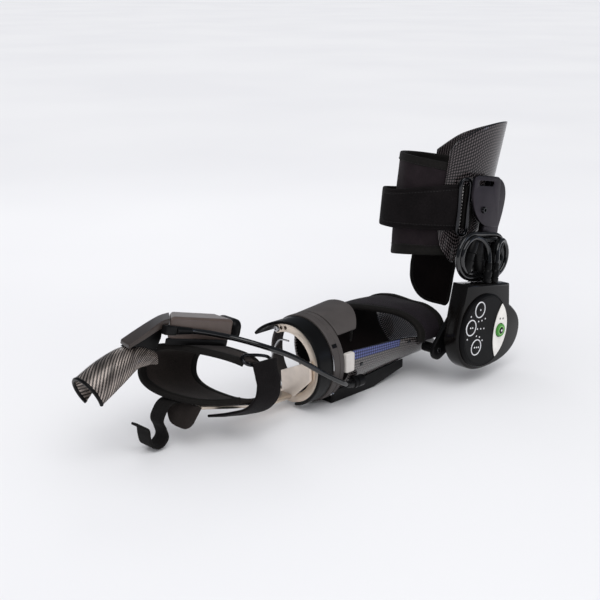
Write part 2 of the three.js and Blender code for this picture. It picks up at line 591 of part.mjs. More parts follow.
// Service cable: an oval coil above the motor, its two plugs and the leads between them
const coilStraight = COIL.halfX - COIL.halfZ;
const coilEnd = (side) => [-90, -45, 0, 45, 90].map((a) => V(
  COIL.x + side * (coilStraight + COIL.halfZ * cosd(a)), COIL.y, COIL.z + side * COIL.halfZ * sind(a),
));
const coilMiddle = (side) => V(COIL.x, COIL.y, COIL.z + side * COIL.halfZ);
const coilPath = spline([...coilEnd(1), coilMiddle(1), ...coilEnd(-1), coilMiddle(-1)], true);
add('cable_coil', tube(coilPath, 28, COIL.thick / 2, 8, true), rubber, armFrame);
for (const [end, x, side] of [['a', 4, -1], ['b', 17, 1]]) {
  const pin = new THREE.CylinderGeometry(4.2, 4.2, 13, 16);
  pin.rotateX(Math.PI / 2);
  pin.translate(x, -79.5, 53.4);
  add(`coil_plug_${end}`, pin, blackPlastic, armFrame);
  const lead = spline([
    V(x, -79.5, 60.3), V(x, -79.5, 67), V(x + 3 * side, -79.2, 76),
    V(x + 10 * side, -78.2, 85), V(x + 20 * side, -77.7, 90),
  ]);
  add(`coil_lead_${end}`, tube(lead, 10, COIL.cable / 2, 8), rubber, armFrame);
}

export default group;
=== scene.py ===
"""Looks of a powered arm orthosis: laminate shells, padded cloth, straps, cables, keypad and studio.

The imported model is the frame. Lengths are in metres and angles in degrees.
"""

import json
import math

import bmesh
import bpy
from bpy.props import FloatProperty, FloatVectorProperty, PointerProperty
from mathutils import Matrix, Vector, noise


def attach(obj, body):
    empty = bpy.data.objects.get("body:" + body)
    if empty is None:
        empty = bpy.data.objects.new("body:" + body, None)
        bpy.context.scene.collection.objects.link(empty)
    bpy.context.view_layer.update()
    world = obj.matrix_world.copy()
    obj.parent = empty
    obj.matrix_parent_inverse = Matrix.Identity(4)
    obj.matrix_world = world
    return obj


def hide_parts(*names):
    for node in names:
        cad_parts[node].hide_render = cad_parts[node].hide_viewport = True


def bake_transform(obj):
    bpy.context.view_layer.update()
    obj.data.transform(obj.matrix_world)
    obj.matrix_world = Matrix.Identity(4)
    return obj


bl_info = {
    "name": "Powered arm orthosis",
    "version": (1, 0, 0),
    "blender": (4, 5, 0),
    "location": "View3D > Sidebar > Orthosis",
    "description": "Laminate, cloth, cables and keypad of a powered arm orthosis",
    "category": "Object",
}

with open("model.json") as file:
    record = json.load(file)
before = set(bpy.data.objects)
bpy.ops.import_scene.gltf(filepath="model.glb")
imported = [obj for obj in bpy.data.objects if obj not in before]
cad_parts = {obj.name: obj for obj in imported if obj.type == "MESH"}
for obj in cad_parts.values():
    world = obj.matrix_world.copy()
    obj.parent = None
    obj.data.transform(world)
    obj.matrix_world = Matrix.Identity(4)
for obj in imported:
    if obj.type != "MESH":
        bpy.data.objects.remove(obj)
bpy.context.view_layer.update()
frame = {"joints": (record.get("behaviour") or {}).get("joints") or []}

# Layout, from the frame's joints
JOINTS = {joint["name"]: joint for joint in frame["joints"]}
ELBOW = Vector(JOINTS["elbow"]["pos_m"])
WRIST = Vector(JOINTS["wrist_turn"]["pos_m"])
UPPER_LEAN = 10
HAND_RISE = 15

# Camera and studio
CAMERA_TARGET = Vector((-0.06857, 0.0, 0.10355))
CAMERA_DISTANCE = 1.0237
CAMERA_TURN = -45
CAMERA_RISE = 17
CAMERA_LENS = 66
FLOOR_HALF = 30.0
FLOOR_DROP = 0.0002


def sind(a):
    return math.sin(math.radians(a))


def cosd(a):
    return math.cos(math.radians(a))


def lerp(a, b, t):
    return a + (b - a) * t


def bump(value, centre, width):
    return math.exp(-(((value - centre) / width) ** 2))


UPPER = Matrix.Translation(ELBOW) @ Matrix.Rotation(math.radians(UPPER_LEAN), 4, "Y")
ALONG_HAND = Vector((-cosd(HAND_RISE), 0, sind(HAND_RISE)))
ACROSS_HAND = Vector((0, 1, 0))
OUT_OF_HAND = Vector((sind(HAND_RISE), 0, cosd(HAND_RISE)))
MOTOR_SIDE = Vector((0, -1, 0))
FORWARD = Vector((1, 0, 0))
UPWARD = Vector((0, 0, 1))
UPPER_FACING = UPPER.to_3x3() @ MOTOR_SIDE

# The upper arm's oval at its foot: middle, half widths, and what they gain for each metre of height
ARM_FOOT = 0.065
ARM_X, ARM_Y = 0.003, -0.009
ARM_HALF_X, ARM_HALF_Y = 0.0485, 0.038
ARM_DRIFT, ARM_SPREAD_X, ARM_SPREAD_Y = 0.03, 0.075, 0.055


def on_hand(p, y, n):
    """A point p along the hand to the fingers, y across it and n out of its back."""
    return WRIST + ALONG_HAND * p + ACROSS_HAND * y + OUT_OF_HAND * n


def on_upper(x, y, z):
    """A point in the upper arm's leaning frame, whose origin is on the elbow axis."""
    return UPPER @ Vector((x, y, z))


def round_arm(a, z, off):
    """A point round the upper arm: 0 is the motor side, +90 behind, -90 in front."""
    rise = z - ARM_FOOT
    x = ARM_X + ARM_DRIFT * rise + (ARM_HALF_X + ARM_SPREAD_X * rise + off) * sind(a)
    y = ARM_Y - (ARM_HALF_Y + ARM_SPREAD_Y * rise + off) * cosd(a)
    return on_upper(x, y, z)


def axes(x, y, z, origin):
    """A placing matrix from three directions and an origin."""
    made = Matrix((x, y, z)).transposed().to_4x4()
    made.translation = origin
    return made


def across_arm(x, y=0.0, z=0.0):
    """Placement of a flat piece that stands across the forearm, with its thickness along +X."""
    return axes(ACROSS_HAND, UPWARD, FORWARD, Vector((x, y, z)))


def forearm_side(y):
    """Placing of a plate drawn in x and z, whose inner face is at y and grows to the motor side."""
    return axes(FORWARD, UPWARD, MOTOR_SIDE, Vector((0, y, 0)))


def upper_side(y):
    """The same in the upper arm's frame."""
    return UPPER @ forearm_side(y)


# Lines and tables


def hermite(a, lead, b, trail, t):
    """A value between a and b that leaves and arrives at the given slopes."""
    return (
        (2 * t**3 - 3 * t**2 + 1) * a
        + (t**3 - 2 * t**2 + t) * lead
        + (3 * t**2 - 2 * t**3) * b
        + (t**3 - t**2) * trail
    )


def spaced(points, count):
    """Points at equal steps along a line of points, both ends included."""
    reach = [0.0]
    for a, b in zip(points, points[1:]):
        reach.append(reach[-1] + (b - a).length)
    made, i = [], 0
    for k in range(count):
        at = reach[-1] * k / (count - 1)
        while i < len(points) - 2 and reach[i + 1] < at:
            i += 1
        made.append(points[i].lerp(points[i + 1], (at - reach[i]) / (reach[i + 1] - reach[i])))
    return made


def length_of(points):
    return sum((b - a).length for a, b in zip(points, points[1:]))


def between(a, b, c, d, t):
    """A point between b and c on a centripetal curve through four knots."""
    first, middle, last = (max((q - p).length, 1e-9) ** 0.5 for p, q in ((a, b), (b, c), (c, d)))
    lead = (b - a) / first - (c - a) / (first + middle) + (c - b) / middle
    trail = (c - b) / middle - (d - b) / (middle + last) + (d - c) / last
    return hermite(b, lead * middle, c, trail * middle, t)


def spline(points, count, closed=False):
    """Evenly spaced points on a smooth curve through the given ones."""
    knots = [Vector(p) for p in points]
    if closed:
        knots = [knots[-1], *knots, knots[0], knots[1]]
    else:
        knots = [knots[0] * 2 - knots[1], *knots, knots[-1] * 2 - knots[-2]]
    fine = []
    for i in range(len(knots) - 3):
        fine += [between(*knots[i : i + 4], k / 16) for k in range(16)]
    fine.append(knots[-2])
    return spaced(fine, count + 1)[:-1] if closed else spaced(fine, count)


def row_at(rows, at):
    """The columns of a table where its first column is `at`, on a smooth curve through the rows."""
    i = max(k for k in range(len(rows) - 1) if rows[k][0] <= at or k == 0)
    before, a, b, after = rows[max(i - 1, 0)], rows[i], rows[i + 1], rows[min(i + 2, len(rows) - 1)]
    span = b[0] - a[0]
    made = []
    for k in range(1, len(a)):
        lead = (b[k] - before[k]) / (b[0] - before[0]) * span
        trail = (after[k] - a[k]) / (after[0] - a[0]) * span
        made.append(hermite(a[k], lead, b[k], trail, (at - a[0]) / span))
    return made


def arc(x, y, radius, start, end, steps=24):
    """Points on an arc about (x, y)."""
    turns = [lerp(start, end, k / steps) for k in range(steps + 1)]
    return [(x + radius * cosd(a), y + radius * sind(a)) for a in turns]


def bezier(a, b, c, d, steps=16):
    """Points on a cubic curve, without its first one."""
    made = []
    for k in range(1, steps + 1):
        t = k / steps
        weights = ((1 - t) ** 3, 3 * t * (1 - t) ** 2, 3 * t**2 * (1 - t), t**3)
        made.append(tuple(sum(w * p[i] for w, p in zip(weights, (a, b, c, d))) for i in (0, 1)))
    return made


def rounded_box(x0, y0, x1, y1, r, steps=6):
    """Outline of a rectangle with round corners."""
    corners = ((x1 - r, y1 - r, 0), (x0 + r, y1 - r, 90), (x0 + r, y0 + r, 180), (x1 - r, y0 + r, 270))
    return [p for x, y, a in corners for p in arc(x, y, r, a, a + 90, steps)]


def squarer(value, power):
    """A sine or cosine pressed towards 1, which turns a circle into a box with round corners."""
    return math.copysign(abs(value) ** power, value)


def tape_section(half_across, half_up, power=0.6):
    """Section of edge tape: a box with round corners."""
    return [
        (half_across * squarer(cosd(t), power), half_up * squarer(sind(t), power)) for t in range(0, 360, 15)
    ]


def disc(radius, sides):
    """A round section."""
    return [(radius * cosd(360 * k / sides), radius * sind(360 * k / sides)) for k in range(sides)]


# Meshes


def piece(name, data):
    """A new object in the scene."""
    made = bpy.data.objects.new(name, data)
    bpy.context.scene.collection.objects.link(made)
    return made


def from_work(name, work):
    """An object from a working mesh, with its faces turned outwards."""
    bmesh.ops.recalc_face_normals(work, faces=work.faces)
    mesh = bpy.data.meshes.new(name)
    work.to_mesh(mesh)
    work.free()
    return piece(name, mesh)


def bake(obj):
    """Turns an object's modifiers into its plain mesh."""
    graph = bpy.context.evaluated_depsgraph_get()
    made = bpy.data.meshes.new_from_object(
        obj.evaluated_get(graph), preserve_all_data_layers=True, depsgraph=graph
    )
    old = obj.data
    obj.modifiers.clear()
    obj.data = made
    made.name = obj.name
    bpy.data.meshes.remove(old)
    return obj


def soften(obj, levels=1):
    """Rounds a cloth piece with a subdivision surface."""
    surface = obj.modifiers.new("Soften", "SUBSURF")
    surface.levels = surface.render_levels = levels
    return bake(obj)


def ease_edges(obj, width, segments=2, angle=40):
    """Bevels the edges sharper than an angle."""
    edge = obj.modifiers.new("Ease", "BEVEL")
    edge.width = width
    edge.segments = segments
    edge.limit_method = "ANGLE"
    edge.angle_limit = math.radians(angle)
    return bake(obj)


def wall(name, shape, rows, cols, around=False):
    """A closed wall mapped in metres: shape(u, v, side) is its outer face for side 0, its inner for 1."""
    wide = cols if around else cols + 1
    work = bmesh.new()
    points = [
        [[work.verts.new(shape(i / rows, j / cols, side)) for j in range(wide)] for i in range(rows + 1)]
        for side in (0, 1)
    ]
    layer = work.loops.layers.uv.new("UVMap")
    across = length_of([v.co for v in points[0][rows // 2]])
    along = length_of([row[cols // 2].co for row in points[0]])

    def quad(*corners):
        face = work.faces.new([points[s][i][j % wide] for s, i, j in corners])
        for loop, (_, i, j) in zip(face.loops, corners):
            loop[layer].uv = (j / cols * across, i / rows * along)

    for j in range(cols):
        for i in range(rows):
            for s in (0, 1):
                quad((s, i, j), (s, i + 1, j), (s, i + 1, j + 1), (s, i, j + 1))
        for i in (0, rows):
            quad((0, i, j), (0, i, j + 1), (1, i, j + 1), (1, i, j))
    for i in range(0 if around else rows):
        for j in (0, cols):
            quad((0, i, j), (1, i, j), (1, i + 1, j), (0, i + 1, j))
    return from_work(name, work)


def directions(path, sides, closed):
    """Tangent and across directions at each point of a path, with the least twist or by the sides given."""
    count = len(path)
    tangents = []
    for i in range(count):
        a = path[i - 1] if i or closed else path[0]
        b = path[(i + 1) % count] if closed or i < count - 1 else path[-1]
        tangents.append((b - a).normalized())
    if sides is not None:
        return tangents, [(s - t * s.dot(t)).normalized() for s, t in zip(sides, tangents)]
    across = [tangents[0].orthogonal().normalized()]
    for a, b in zip(tangents, tangents[1:]):
        across.append((a.rotation_difference(b) @ across[-1]).normalized())
    if closed:
        back = tangents[-1].rotation_difference(tangents[0]) @ across[-1]
        twist = math.atan2(tangents[0].dot(back.cross(across[0])), back.dot(across[0]))
        across = [
            Matrix.Rotation(twist * i / count, 3, tangents[i]) @ side for i, side in enumerate(across)
        ]
    return tangents, across


def sweep(name, path, section, sides=None, closed=False, swell=None):
    """Carries a section of (across, up) pairs along a path. swell(t) scales it at a share of the path."""
    tangents, across = directions(path, sides, closed)
    count, around = len(path), len(section)
    work = bmesh.new()
    rings = []
    for i, (p, t, x) in enumerate(zip(path, tangents, across)):
        scale = swell(i / (count - 1)) if swell else 1.0
        up = t.cross(x)
        rings.append([work.verts.new(p + x * (a * scale) + up * (b * scale)) for a, b in section])
    layer = work.loops.layers.uv.new("UVMap")
    girth = length_of([Vector(p) for p in [*section, section[0]]])
    reach = length_of(path)
    for i in range(count if closed else count - 1):
        for j in range(around):
            corners = ((i, j), (i, j + 1), (i + 1, j + 1), (i + 1, j))
            face = work.faces.new([rings[a % count][b % around] for a, b in corners])
            for loop, (a, b) in zip(face.loops, corners):
                loop[layer].uv = (b / around * girth, a / (count - 1) * reach)
    if not closed:
        work.faces.new(rings[0])
        work.faces.new(rings[-1])
    return from_work(name, work)


def strip(width, thick):
    """Section of a flat strap with round edges."""
    half, r = width / 2 - thick / 2, thick / 2
    flat = [lerp(half, -half, k / 6) for k in range(7)]
    ends = [(half + r * cosd(a), r * sind(a)) for a in (-60, -30, 0, 30, 60)]
    return [(x, r) for x in flat] + [(-x, -y) for x, y in ends] + [(-x, -r) for x in flat] + ends


def lathe(name, profile, place, closed=False, turns=48):
    """Spins (radius, height) pairs round the Z of a placing matrix."""
    work = bmesh.new()
    rings = []
    for r, h in profile:
        if r == 0:
            rings.append([work.verts.new(place @ Vector((0, 0, h)))] * turns)
        else:
            spin = (360 * k / turns for k in range(turns))
            rings.append([work.verts.new(place @ Vector((r * cosd(a), r * sind(a), h))) for a in spin])
    pairs = list(zip(rings, rings[1:]))
    if closed:
        pairs.append((rings[-1], rings[0]))
    for a, b in pairs:
        for k in range(turns):
            corners = dict.fromkeys((a[k], a[(k + 1) % turns], b[(k + 1) % turns], b[k]))
            if len(corners) > 2:
                work.faces.new(list(corners))
    return from_work(name, work)


def plate(name, outline, place, depth, bevel, holes=()):
    """A flat shape made thick along the Z of a placing matrix, with eased edges."""
    fine = 1000
    curve = bpy.data.curves.new(name, "CURVE")
    curve.dimensions = "2D"
    curve.fill_mode = "BOTH"
    curve.extrude = (depth / 2 - bevel) * fine
    curve.bevel_depth = bevel * fine
    curve.bevel_resolution = 2
    curve.offset = -bevel * fine
    for line in (outline, *holes):
        path = curve.splines.new("POLY")
        path.points.add(len(line) - 1)
        for point, (x, y) in zip(path.points, line):
            point.co = (x * fine, y * fine, 0, 1)
        path.use_cyclic_u = True
    drawn = piece(name + "_outline", curve)
    graph = bpy.context.evaluated_depsgraph_get()
    flat = bpy.data.meshes.new_from_object(drawn.evaluated_get(graph), depsgraph=graph)
    work = bmesh.new()
    work.from_mesh(flat)
    bmesh.ops.remove_doubles(work, verts=work.verts, dist=1e-4)
    work.transform(place @ Matrix.Translation((0, 0, depth / 2)) @ Matrix.Scale(1 / fine, 4))
    bpy.data.objects.remove(drawn)
    bpy.data.curves.remove(curve)
    bpy.data.meshes.remove(flat)
    return from_work(name, work)


def settle(obj, body, finish_name=None, stands_for=(), angle=35):
    """Gives a piece its finish, shading and body, and hides the nodes that it stands for."""
    if finish_name:
        obj.data.materials.clear()
        obj.data.materials.append(finish(finish_name))
    obj.data.polygons.foreach_set("use_smooth", [True] * len(obj.data.polygons))
    obj.data.set_sharp_from_angle(angle=math.radians(angle))
    if body:
        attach(obj, body)
    if stands_for:
        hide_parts(*stands_for)
    return obj


# Geometry trees for what repeats


def node(tree, kind, inputs=None, **settings):
    """Adds a node to a tree, sets it, and sets or joins its inputs by name or number."""
    made = tree.nodes.new(kind)
    for key, value in settings.items():
        setattr(made, key, value)
    for key, value in (inputs or {}).items():
        if isinstance(value, bpy.types.NodeSocket):
            tree.links.new(value, made.inputs[key])
        else:
            made.inputs[key].default_value = value
    return made


def detail_tree(name, measures):
    """A geometry tree with named sizes and a material, and its entry node."""
    tree = bpy.data.node_groups.new(name, "GeometryNodeTree")
    tree.interface.new_socket("Geometry", in_out="INPUT", socket_type="NodeSocketGeometry")
    for label, measure in measures.items():
        socket = tree.interface.new_socket(label, in_out="INPUT", socket_type="NodeSocketFloat")
        socket.default_value = measure
    tree.interface.new_socket("Material", in_out="INPUT", socket_type="NodeSocketMaterial")
    tree.interface.new_socket("Geometry", in_out="OUTPUT", socket_type="NodeSocketGeometry")
    return tree, tree.nodes.new("NodeGroupInput")


def close_tree(tree, entry, copies):
    """Makes a tree's copies real, gives them the material and leads them out."""
    real = node(tree, "GeometryNodeRealizeInstances", {"Geometry": copies})
    painted = node(
        tree,
        "GeometryNodeSetMaterial",
        {"Geometry": real.outputs[0], "Material": entry.outputs["Material"]},
    )
    leave = tree.nodes.new("NodeGroupOutput")
    tree.links.new(painted.outputs[0], leave.inputs[0])
    return tree


def facing_turn(tree):
    """The turn that stands a copy on the surface it is marked on."""
    facing = node(tree, "GeometryNodeInputNamedAttribute", {"Name": "facing"}, data_type="FLOAT_VECTOR")
    turn = node(tree, "FunctionNodeAlignRotationToVector", {"Vector": facing.outputs[0]}, axis="Z")
    return turn.outputs[0]


def times(tree, a, b):
    return node(tree, "ShaderNodeMath", {0: a, 1: b}, operation="MULTIPLY").outputs[0]


def screw_tree():
    """Screw heads with a six-sided socket, one on each marked point."""
    tree, entry = detail_tree("Screw heads", {"Radius": 0.0026, "Height": 0.0016, "Socket": 0.0013})
    radius, height, socket = (entry.outputs[k] for k in ("Radius", "Height", "Socket"))
    head = node(
        tree,
        "GeometryNodeMeshCone",
        {"Vertices": 24, "Radius Bottom": radius, "Radius Top": times(tree, radius, 0.82), "Depth": height},
    )
    hollow = node(tree, "GeometryNodeMeshCylinder", {"Vertices": 6, "Radius": socket, "Depth": height})
    lift = node(tree, "ShaderNodeCombineXYZ", {"Z": height})
    raised = node(
        tree, "GeometryNodeTransform", {"Geometry": hollow.outputs["Mesh"], "Translation": lift.outputs[0]}
    )
    cut = node(
        tree,
        "GeometryNodeMeshBoolean",
        {"Mesh 1": head.outputs["Mesh"], "Mesh 2": raised.outputs[0]},
        operation="DIFFERENCE",
    )
    copies = node(
        tree,
        "GeometryNodeInstanceOnPoints",
        {"Points": entry.outputs["Geometry"], "Instance": cut.outputs[0], "Rotation": facing_turn(tree)},
    )
    return close_tree(tree, entry, copies.outputs[0])


def dome_tree():
    """Flat domes, for rivets, lamps and marks, one on each marked point."""
    tree, entry = detail_tree("Domes", {"Radius": 0.002, "Height": 0.0008})
    ball = node(tree, "GeometryNodeMeshUVSphere", {"Segments": 20, "Rings": 10, "Radius": 1.0})
    size = node(
        tree,
        "ShaderNodeCombineXYZ",
        {"X": entry.outputs["Radius"], "Y": entry.outputs["Radius"], "Z": entry.outputs["Height"]},
    )
    copies = node(
        tree,
        "GeometryNodeInstanceOnPoints",
        {
            "Points": entry.outputs["Geometry"],
            "Instance": ball.outputs["Mesh"],
            "Rotation": facing_turn(tree),
            "Scale": size.outputs[0],
        },
    )
    return close_tree(tree, entry, copies.outputs[0])


def stitch_tree():
    """Stitches along a marked line. Slant turns them to and fro for a zigzag."""
    tree, entry = detail_tree(
        "Stitches", {"Pitch": 0.003, "Length": 0.0021, "Thread": 0.0003, "Slant": 0.0}
    )
    line = node(tree, "GeometryNodeMeshToCurve", {"Mesh": entry.outputs["Geometry"]})
    steps = node(
        tree,
        "GeometryNodeResampleCurve",
        {"Curve": line.outputs[0], "Length": entry.outputs["Pitch"]},
        mode="LENGTH",
    )
    tangent = node(tree, "GeometryNodeInputTangent")
    along = node(
        tree,
        "FunctionNodeAlignRotationToVector",
        {"Rotation": facing_turn(tree), "Vector": tangent.outputs[0]},
        axis="X",
        pivot_axis="Z",
    )
    index = node(tree, "GeometryNodeInputIndex")
    odd = node(tree, "ShaderNodeMath", {0: index.outputs[0], 1: 2.0}, operation="MODULO")
    sign = node(tree, "ShaderNodeMath", {0: odd.outputs[0], 1: 2.0, 2: -1.0}, operation="MULTIPLY_ADD")
    slant = node(tree, "ShaderNodeCombineXYZ", {"Z": times(tree, sign.outputs[0], entry.outputs["Slant"])})
    swing = node(tree, "FunctionNodeEulerToRotation", {0: slant.outputs[0]})
    turned = node(
        tree,
        "FunctionNodeRotateRotation",
        {"Rotation": along.outputs[0], "Rotate By": swing.outputs[0]},
        rotation_space="LOCAL",
    )
    grain = node(tree, "GeometryNodeMeshIcoSphere", {"Radius": 1.0, "Subdivisions": 2})
    size = node(
        tree,
        "ShaderNodeCombineXYZ",
        {
            "X": times(tree, entry.outputs["Length"], 0.5),
            "Y": entry.outputs["Thread"],
            "Z": entry.outputs["Thread"],
        },
    )
    copies = node(
        tree,
        "GeometryNodeInstanceOnPoints",
        {
            "Points": steps.outputs[0],
            "Instance": grain.outputs["Mesh"],
            "Rotation": turned.outputs[0],
            "Scale": size.outputs[0],
        },
    )
    return close_tree(tree, entry, copies.outputs[0])


TREES = {"screws": screw_tree, "domes": dome_tree, "stitches": stitch_tree}


def grow(name, kind, spots, body, finish_name, slot, joined=False, closed=False, **measures):
    """A piece grown by a tree from marked points: spots holds (point, facing) pairs."""
    mesh = bpy.data.meshes.new(name)
    edges = [(i, i + 1) for i in range(len(spots) - 1)] if joined else []
    if closed:
        edges.append((len(spots) - 1, 0))
    mesh.from_pydata([p for p, _ in spots], edges, [])
    facing = mesh.attributes.new("facing", "FLOAT_VECTOR", "POINT")
    facing.data.foreach_set("vector", [c for _, f in spots for c in f])
    made = piece(name, mesh)
    tree = bpy.data.node_groups.get(kind)
    if tree is None:
        tree = TREES[kind]()
        tree.name = kind
    modifier = made.modifiers.new(kind, "NODES")
    modifier.node_group = tree
    inputs = {i.name: i.identifier for i in tree.interface.items_tree if i.in_out == "INPUT"}
    for label, value in {**measures, "Material": finish(finish_name)}.items():
        modifier[inputs[label]] = value
    bake(made)
    if not made.data.polygons:
        raise RuntimeError(f"{name} grew nothing")
    return settle(made, body)


def plain_seam(name, spots, body, slot, closed=False):
    """Dark stitches along a line of marked points."""
    thread = sizes()
    grow(
        name, "stitches", spots, body, "dark_thread", slot, True, closed,
        Pitch=thread.pitch, Length=thread.stitch, Thread=thread.thread,
    )


# Finishes


def principled(name, **sockets):
    """A new material, its tree and its shader, with constant sockets set on the shader."""
    material = bpy.data.materials.new(name)
    material.use_nodes = True
    tree = material.node_tree
    shader = next(n for n in tree.nodes if n.type == "BSDF_PRINCIPLED")
    for label, value in sockets.items():
        shader.inputs[label.replace("_", " ").title()].default_value = value
    return material, tree, shader


def rgba(colour, gain=1.0):
    return (*(min(1.0, c * gain) for c in colour), 1.0)


def speckle(tree, coordinates, scale, detail=2.0):
    """Noise of a scale in cells a metre."""
    made = node(tree, "ShaderNodeTexNoise", {"Vector": coordinates, "Scale": scale, "Detail": detail})
    return made.outputs["Fac"]


def shades(tree, factor, dark, light, low=0.35, high=0.65):
    """A colour between two by a factor that is spread over its middle part."""
    ramp = node(tree, "ShaderNodeValToRGB", {"Fac": factor})
    ramp.color_ramp.elements[0].position = low
    ramp.color_ramp.elements[0].color = dark
    ramp.color_ramp.elements[1].position = high
    ramp.color_ramp.elements[1].color = light
    return ramp.outputs["Color"]


def spread(tree, factor, low, high):
    """A number between two by a factor."""
    made = node(tree, "ShaderNodeMapRange", {"Value": factor, "To Min": low, "To Max": high})
    return made.outputs[0]


def relief(tree, shader, height, strength, distance):
    """Bumps the shader's surface by a height."""
    made = node(tree, "ShaderNodeBump", {"Height": height, "Strength": strength, "Distance": distance})
    tree.links.new(made.outputs[0], shader.inputs["Normal"])


def cloth(name, colour, grain=1500, depth=0.0003, sheen=0.04, patch=45):
    """Knit or pile: fine grain, patchy shade and sheen."""
    material, tree, shader = principled(name, roughness=0.9, sheen_weight=sheen, sheen_roughness=0.45)
    shader.inputs["Specular IOR Level"].default_value = 0.1
    place = node(tree, "ShaderNodeTexCoord").outputs["Object"]
    fine = speckle(tree, place, grain, 3.0)
    broad = speckle(tree, place, patch, 4.0)
    mixed = times(tree, fine, broad)
    tree.links.new(
        shades(tree, mixed, rgba(colour, 0.62), rgba(colour, 1.5), 0.12, 0.42), shader.inputs["Base Color"]
    )
    relief(tree, shader, fine, 0.6, depth)
    return material


def ribbed(name, colour, pitch=0.0011, sheen=0.03, gain=1.6):
    """Woven tape: ribs along its map, with a broken thread grain."""
    material, tree, shader = principled(name, roughness=0.78, sheen_weight=sheen, sheen_roughness=0.4)
    shader.inputs["Specular IOR Level"].default_value = 0.12
    flat = node(tree, "ShaderNodeTexCoord").outputs["UV"]
    parts = node(tree, "ShaderNodeSeparateXYZ", {0: flat})
    waves = []
    for axis, share in (("Y", 1.0), ("X", 0.6)):
        turn = times(tree, parts.outputs[axis], 2 * math.pi / pitch * share)
        waves.append(node(tree, "ShaderNodeMath", {0: turn}, operation="SINE").outputs[0])
    weave = node(tree, "ShaderNodeMath", {0: waves[0], 1: waves[1]}, operation="MAXIMUM").outputs[0]
    height = spread(tree, node(tree, "ShaderNodeMath", {0: weave, 1: 1.0}).outputs[0], 0.0, 0.5)
    grain = speckle(tree, node(tree, "ShaderNodeTexCoord").outputs["Object"], 700, 3.0)
    mixed = times(tree, height, grain)
    tree.links.new(
        shades(tree, mixed, rgba(colour, 0.6), rgba(colour, gain), 0.1, 0.5), shader.inputs["Base Color"]
    )
    relief(tree, shader, height, 0.5, 0.0003)
    return material


def laminate(name, dark, light, tow, turn, over, metallic, rough, coat, base=0.25, streaks=0.2):
    """Woven laminate under a clear coat, drawn on the piece's map, partly painted light: bright dots at the
    yarn crowns are painted glints, and stretched noise paints streaks of highlight. over counts the yarns
    that one crosses.
    """
    material, tree, shader = principled(name, metallic=metallic, coat_weight=coat, coat_roughness=0.05)
    shader.inputs["Specular IOR Level"].default_value = 0.2
    flat = node(tree, "ShaderNodeTexCoord").outputs["UV"]
    scaled = node(
        tree,
        "ShaderNodeMapping",
        {"Vector": flat, "Rotation": (0, 0, math.radians(turn)), "Scale": (1 / tow, 1 / tow, 1)},
    )
    parts = node(tree, "ShaderNodeSeparateXYZ", {0: scaled.outputs[0]})
    cells, hills = [], []
    for axis in ("X", "Y"):
        at = parts.outputs[axis]
        cells.append(node(tree, "ShaderNodeMath", {0: at}, operation="FLOOR").outputs[0])
        part = node(tree, "ShaderNodeMath", {0: at}, operation="FRACT").outputs[0]
        hills.append(
            node(tree, "ShaderNodeMath", {0: times(tree, part, math.pi)}, operation="SINE").outputs[0]
        )
    step = node(tree, "ShaderNodeMath", {0: cells[0], 1: cells[1]}, operation="SUBTRACT").outputs[0]
    place = node(tree, "ShaderNodeMath", {0: step, 1: 2.0 * over}, operation="FLOORED_MODULO").outputs[0]
    upper = node(tree, "ShaderNodeMath", {0: place, 1: over - 0.5}, operation="LESS_THAN").outputs[0]
    height = node(tree, "ShaderNodeMix", {0: upper, 2: hills[1], 3: hills[0]}).outputs[0]
    # Painted glints: the yarn crowns are brightest in the middle, standing for the weave's highlights; the
    # checker of upper yarns is the real weave.
    crown_glint = times(tree, hills[0], hills[1])
    lifted = node(tree, "ShaderNodeMath", {0: crown_glint, 1: 1 - base, 2: base}, operation="MULTIPLY_ADD")
    bright = lifted.outputs[0]
    # Painted highlight: stretched noise brightens the weave in streaks, standing for its broken glints.
    slant = (0, 0, math.radians(45))
    turned = node(tree, "ShaderNodeMapping", {"Vector": scaled.outputs[0], "Rotation": slant})
    drawn = node(tree, "ShaderNodeMapping", {"Vector": turned.outputs[0], "Scale": (0.16, 0.03, 1)})
    streak = spread(tree, speckle(tree, drawn.outputs[0], 1.0, 3.0), 1 - streaks, 1 + streaks)
    tone = times(tree, times(tree, upper, bright), streak)
    tree.links.new(shades(tree, tone, rgba(dark), rgba(light), 0.05, 0.9), shader.inputs["Base Color"])
    tree.links.new(spread(tree, upper, *rough), shader.inputs["Roughness"])
    relief(tree, shader, height, 0.25, 0.0002)
    return material


def moulding(name, colour, rough, grain=2600, depth=0.00006, coat=0.0, patch=0.08, shine=0.3):
    """Moulded plastic or rubber with a fine grain and slightly uneven gloss."""
    material, tree, shader = principled(name, coat_weight=coat, coat_roughness=0.06)
    shader.inputs["Specular IOR Level"].default_value = shine
    place = node(tree, "ShaderNodeTexCoord").outputs["Object"]
    fine = speckle(tree, place, grain)
    broad = speckle(tree, place, 70, 5.0)
    tree.links.new(
        shades(tree, broad, rgba(colour, 1 - patch), rgba(colour, 1 + patch)), shader.inputs["Base Color"]
    )
    tree.links.new(spread(tree, broad, rough - 0.06, rough + 0.06), shader.inputs["Roughness"])
    relief(tree, shader, fine, 0.35, depth)
    return material


def metal(name, colour, rough, stretch=(30, 30, 900), patch=0.1, metallic=1.0):
    """Metal with fine lines along one direction and broad patches in its tone."""
    material, tree, shader = principled(name, metallic=metallic)
    place = node(tree, "ShaderNodeTexCoord").outputs["Object"]
    drawn = node(tree, "ShaderNodeMapping", {"Vector": place, "Scale": stretch})
    lines = speckle(tree, drawn.outputs[0], 1.0, 4.0)
    broad = speckle(tree, place, 55, 4.0)
    tree.links.new(
        shades(tree, broad, rgba(colour, 1 - patch), rgba(colour, 1 + patch)), shader.inputs["Base Color"]
    )
    tree.links.new(spread(tree, lines, rough - 0.08, rough + 0.1), shader.inputs["Roughness"])
    relief(tree, shader, lines, 0.12, 0.00004)
    return material


def colours():
    return bpy.context.scene.orthosis_colours


def sizes():
    return bpy.context.scene.orthosis_sizes


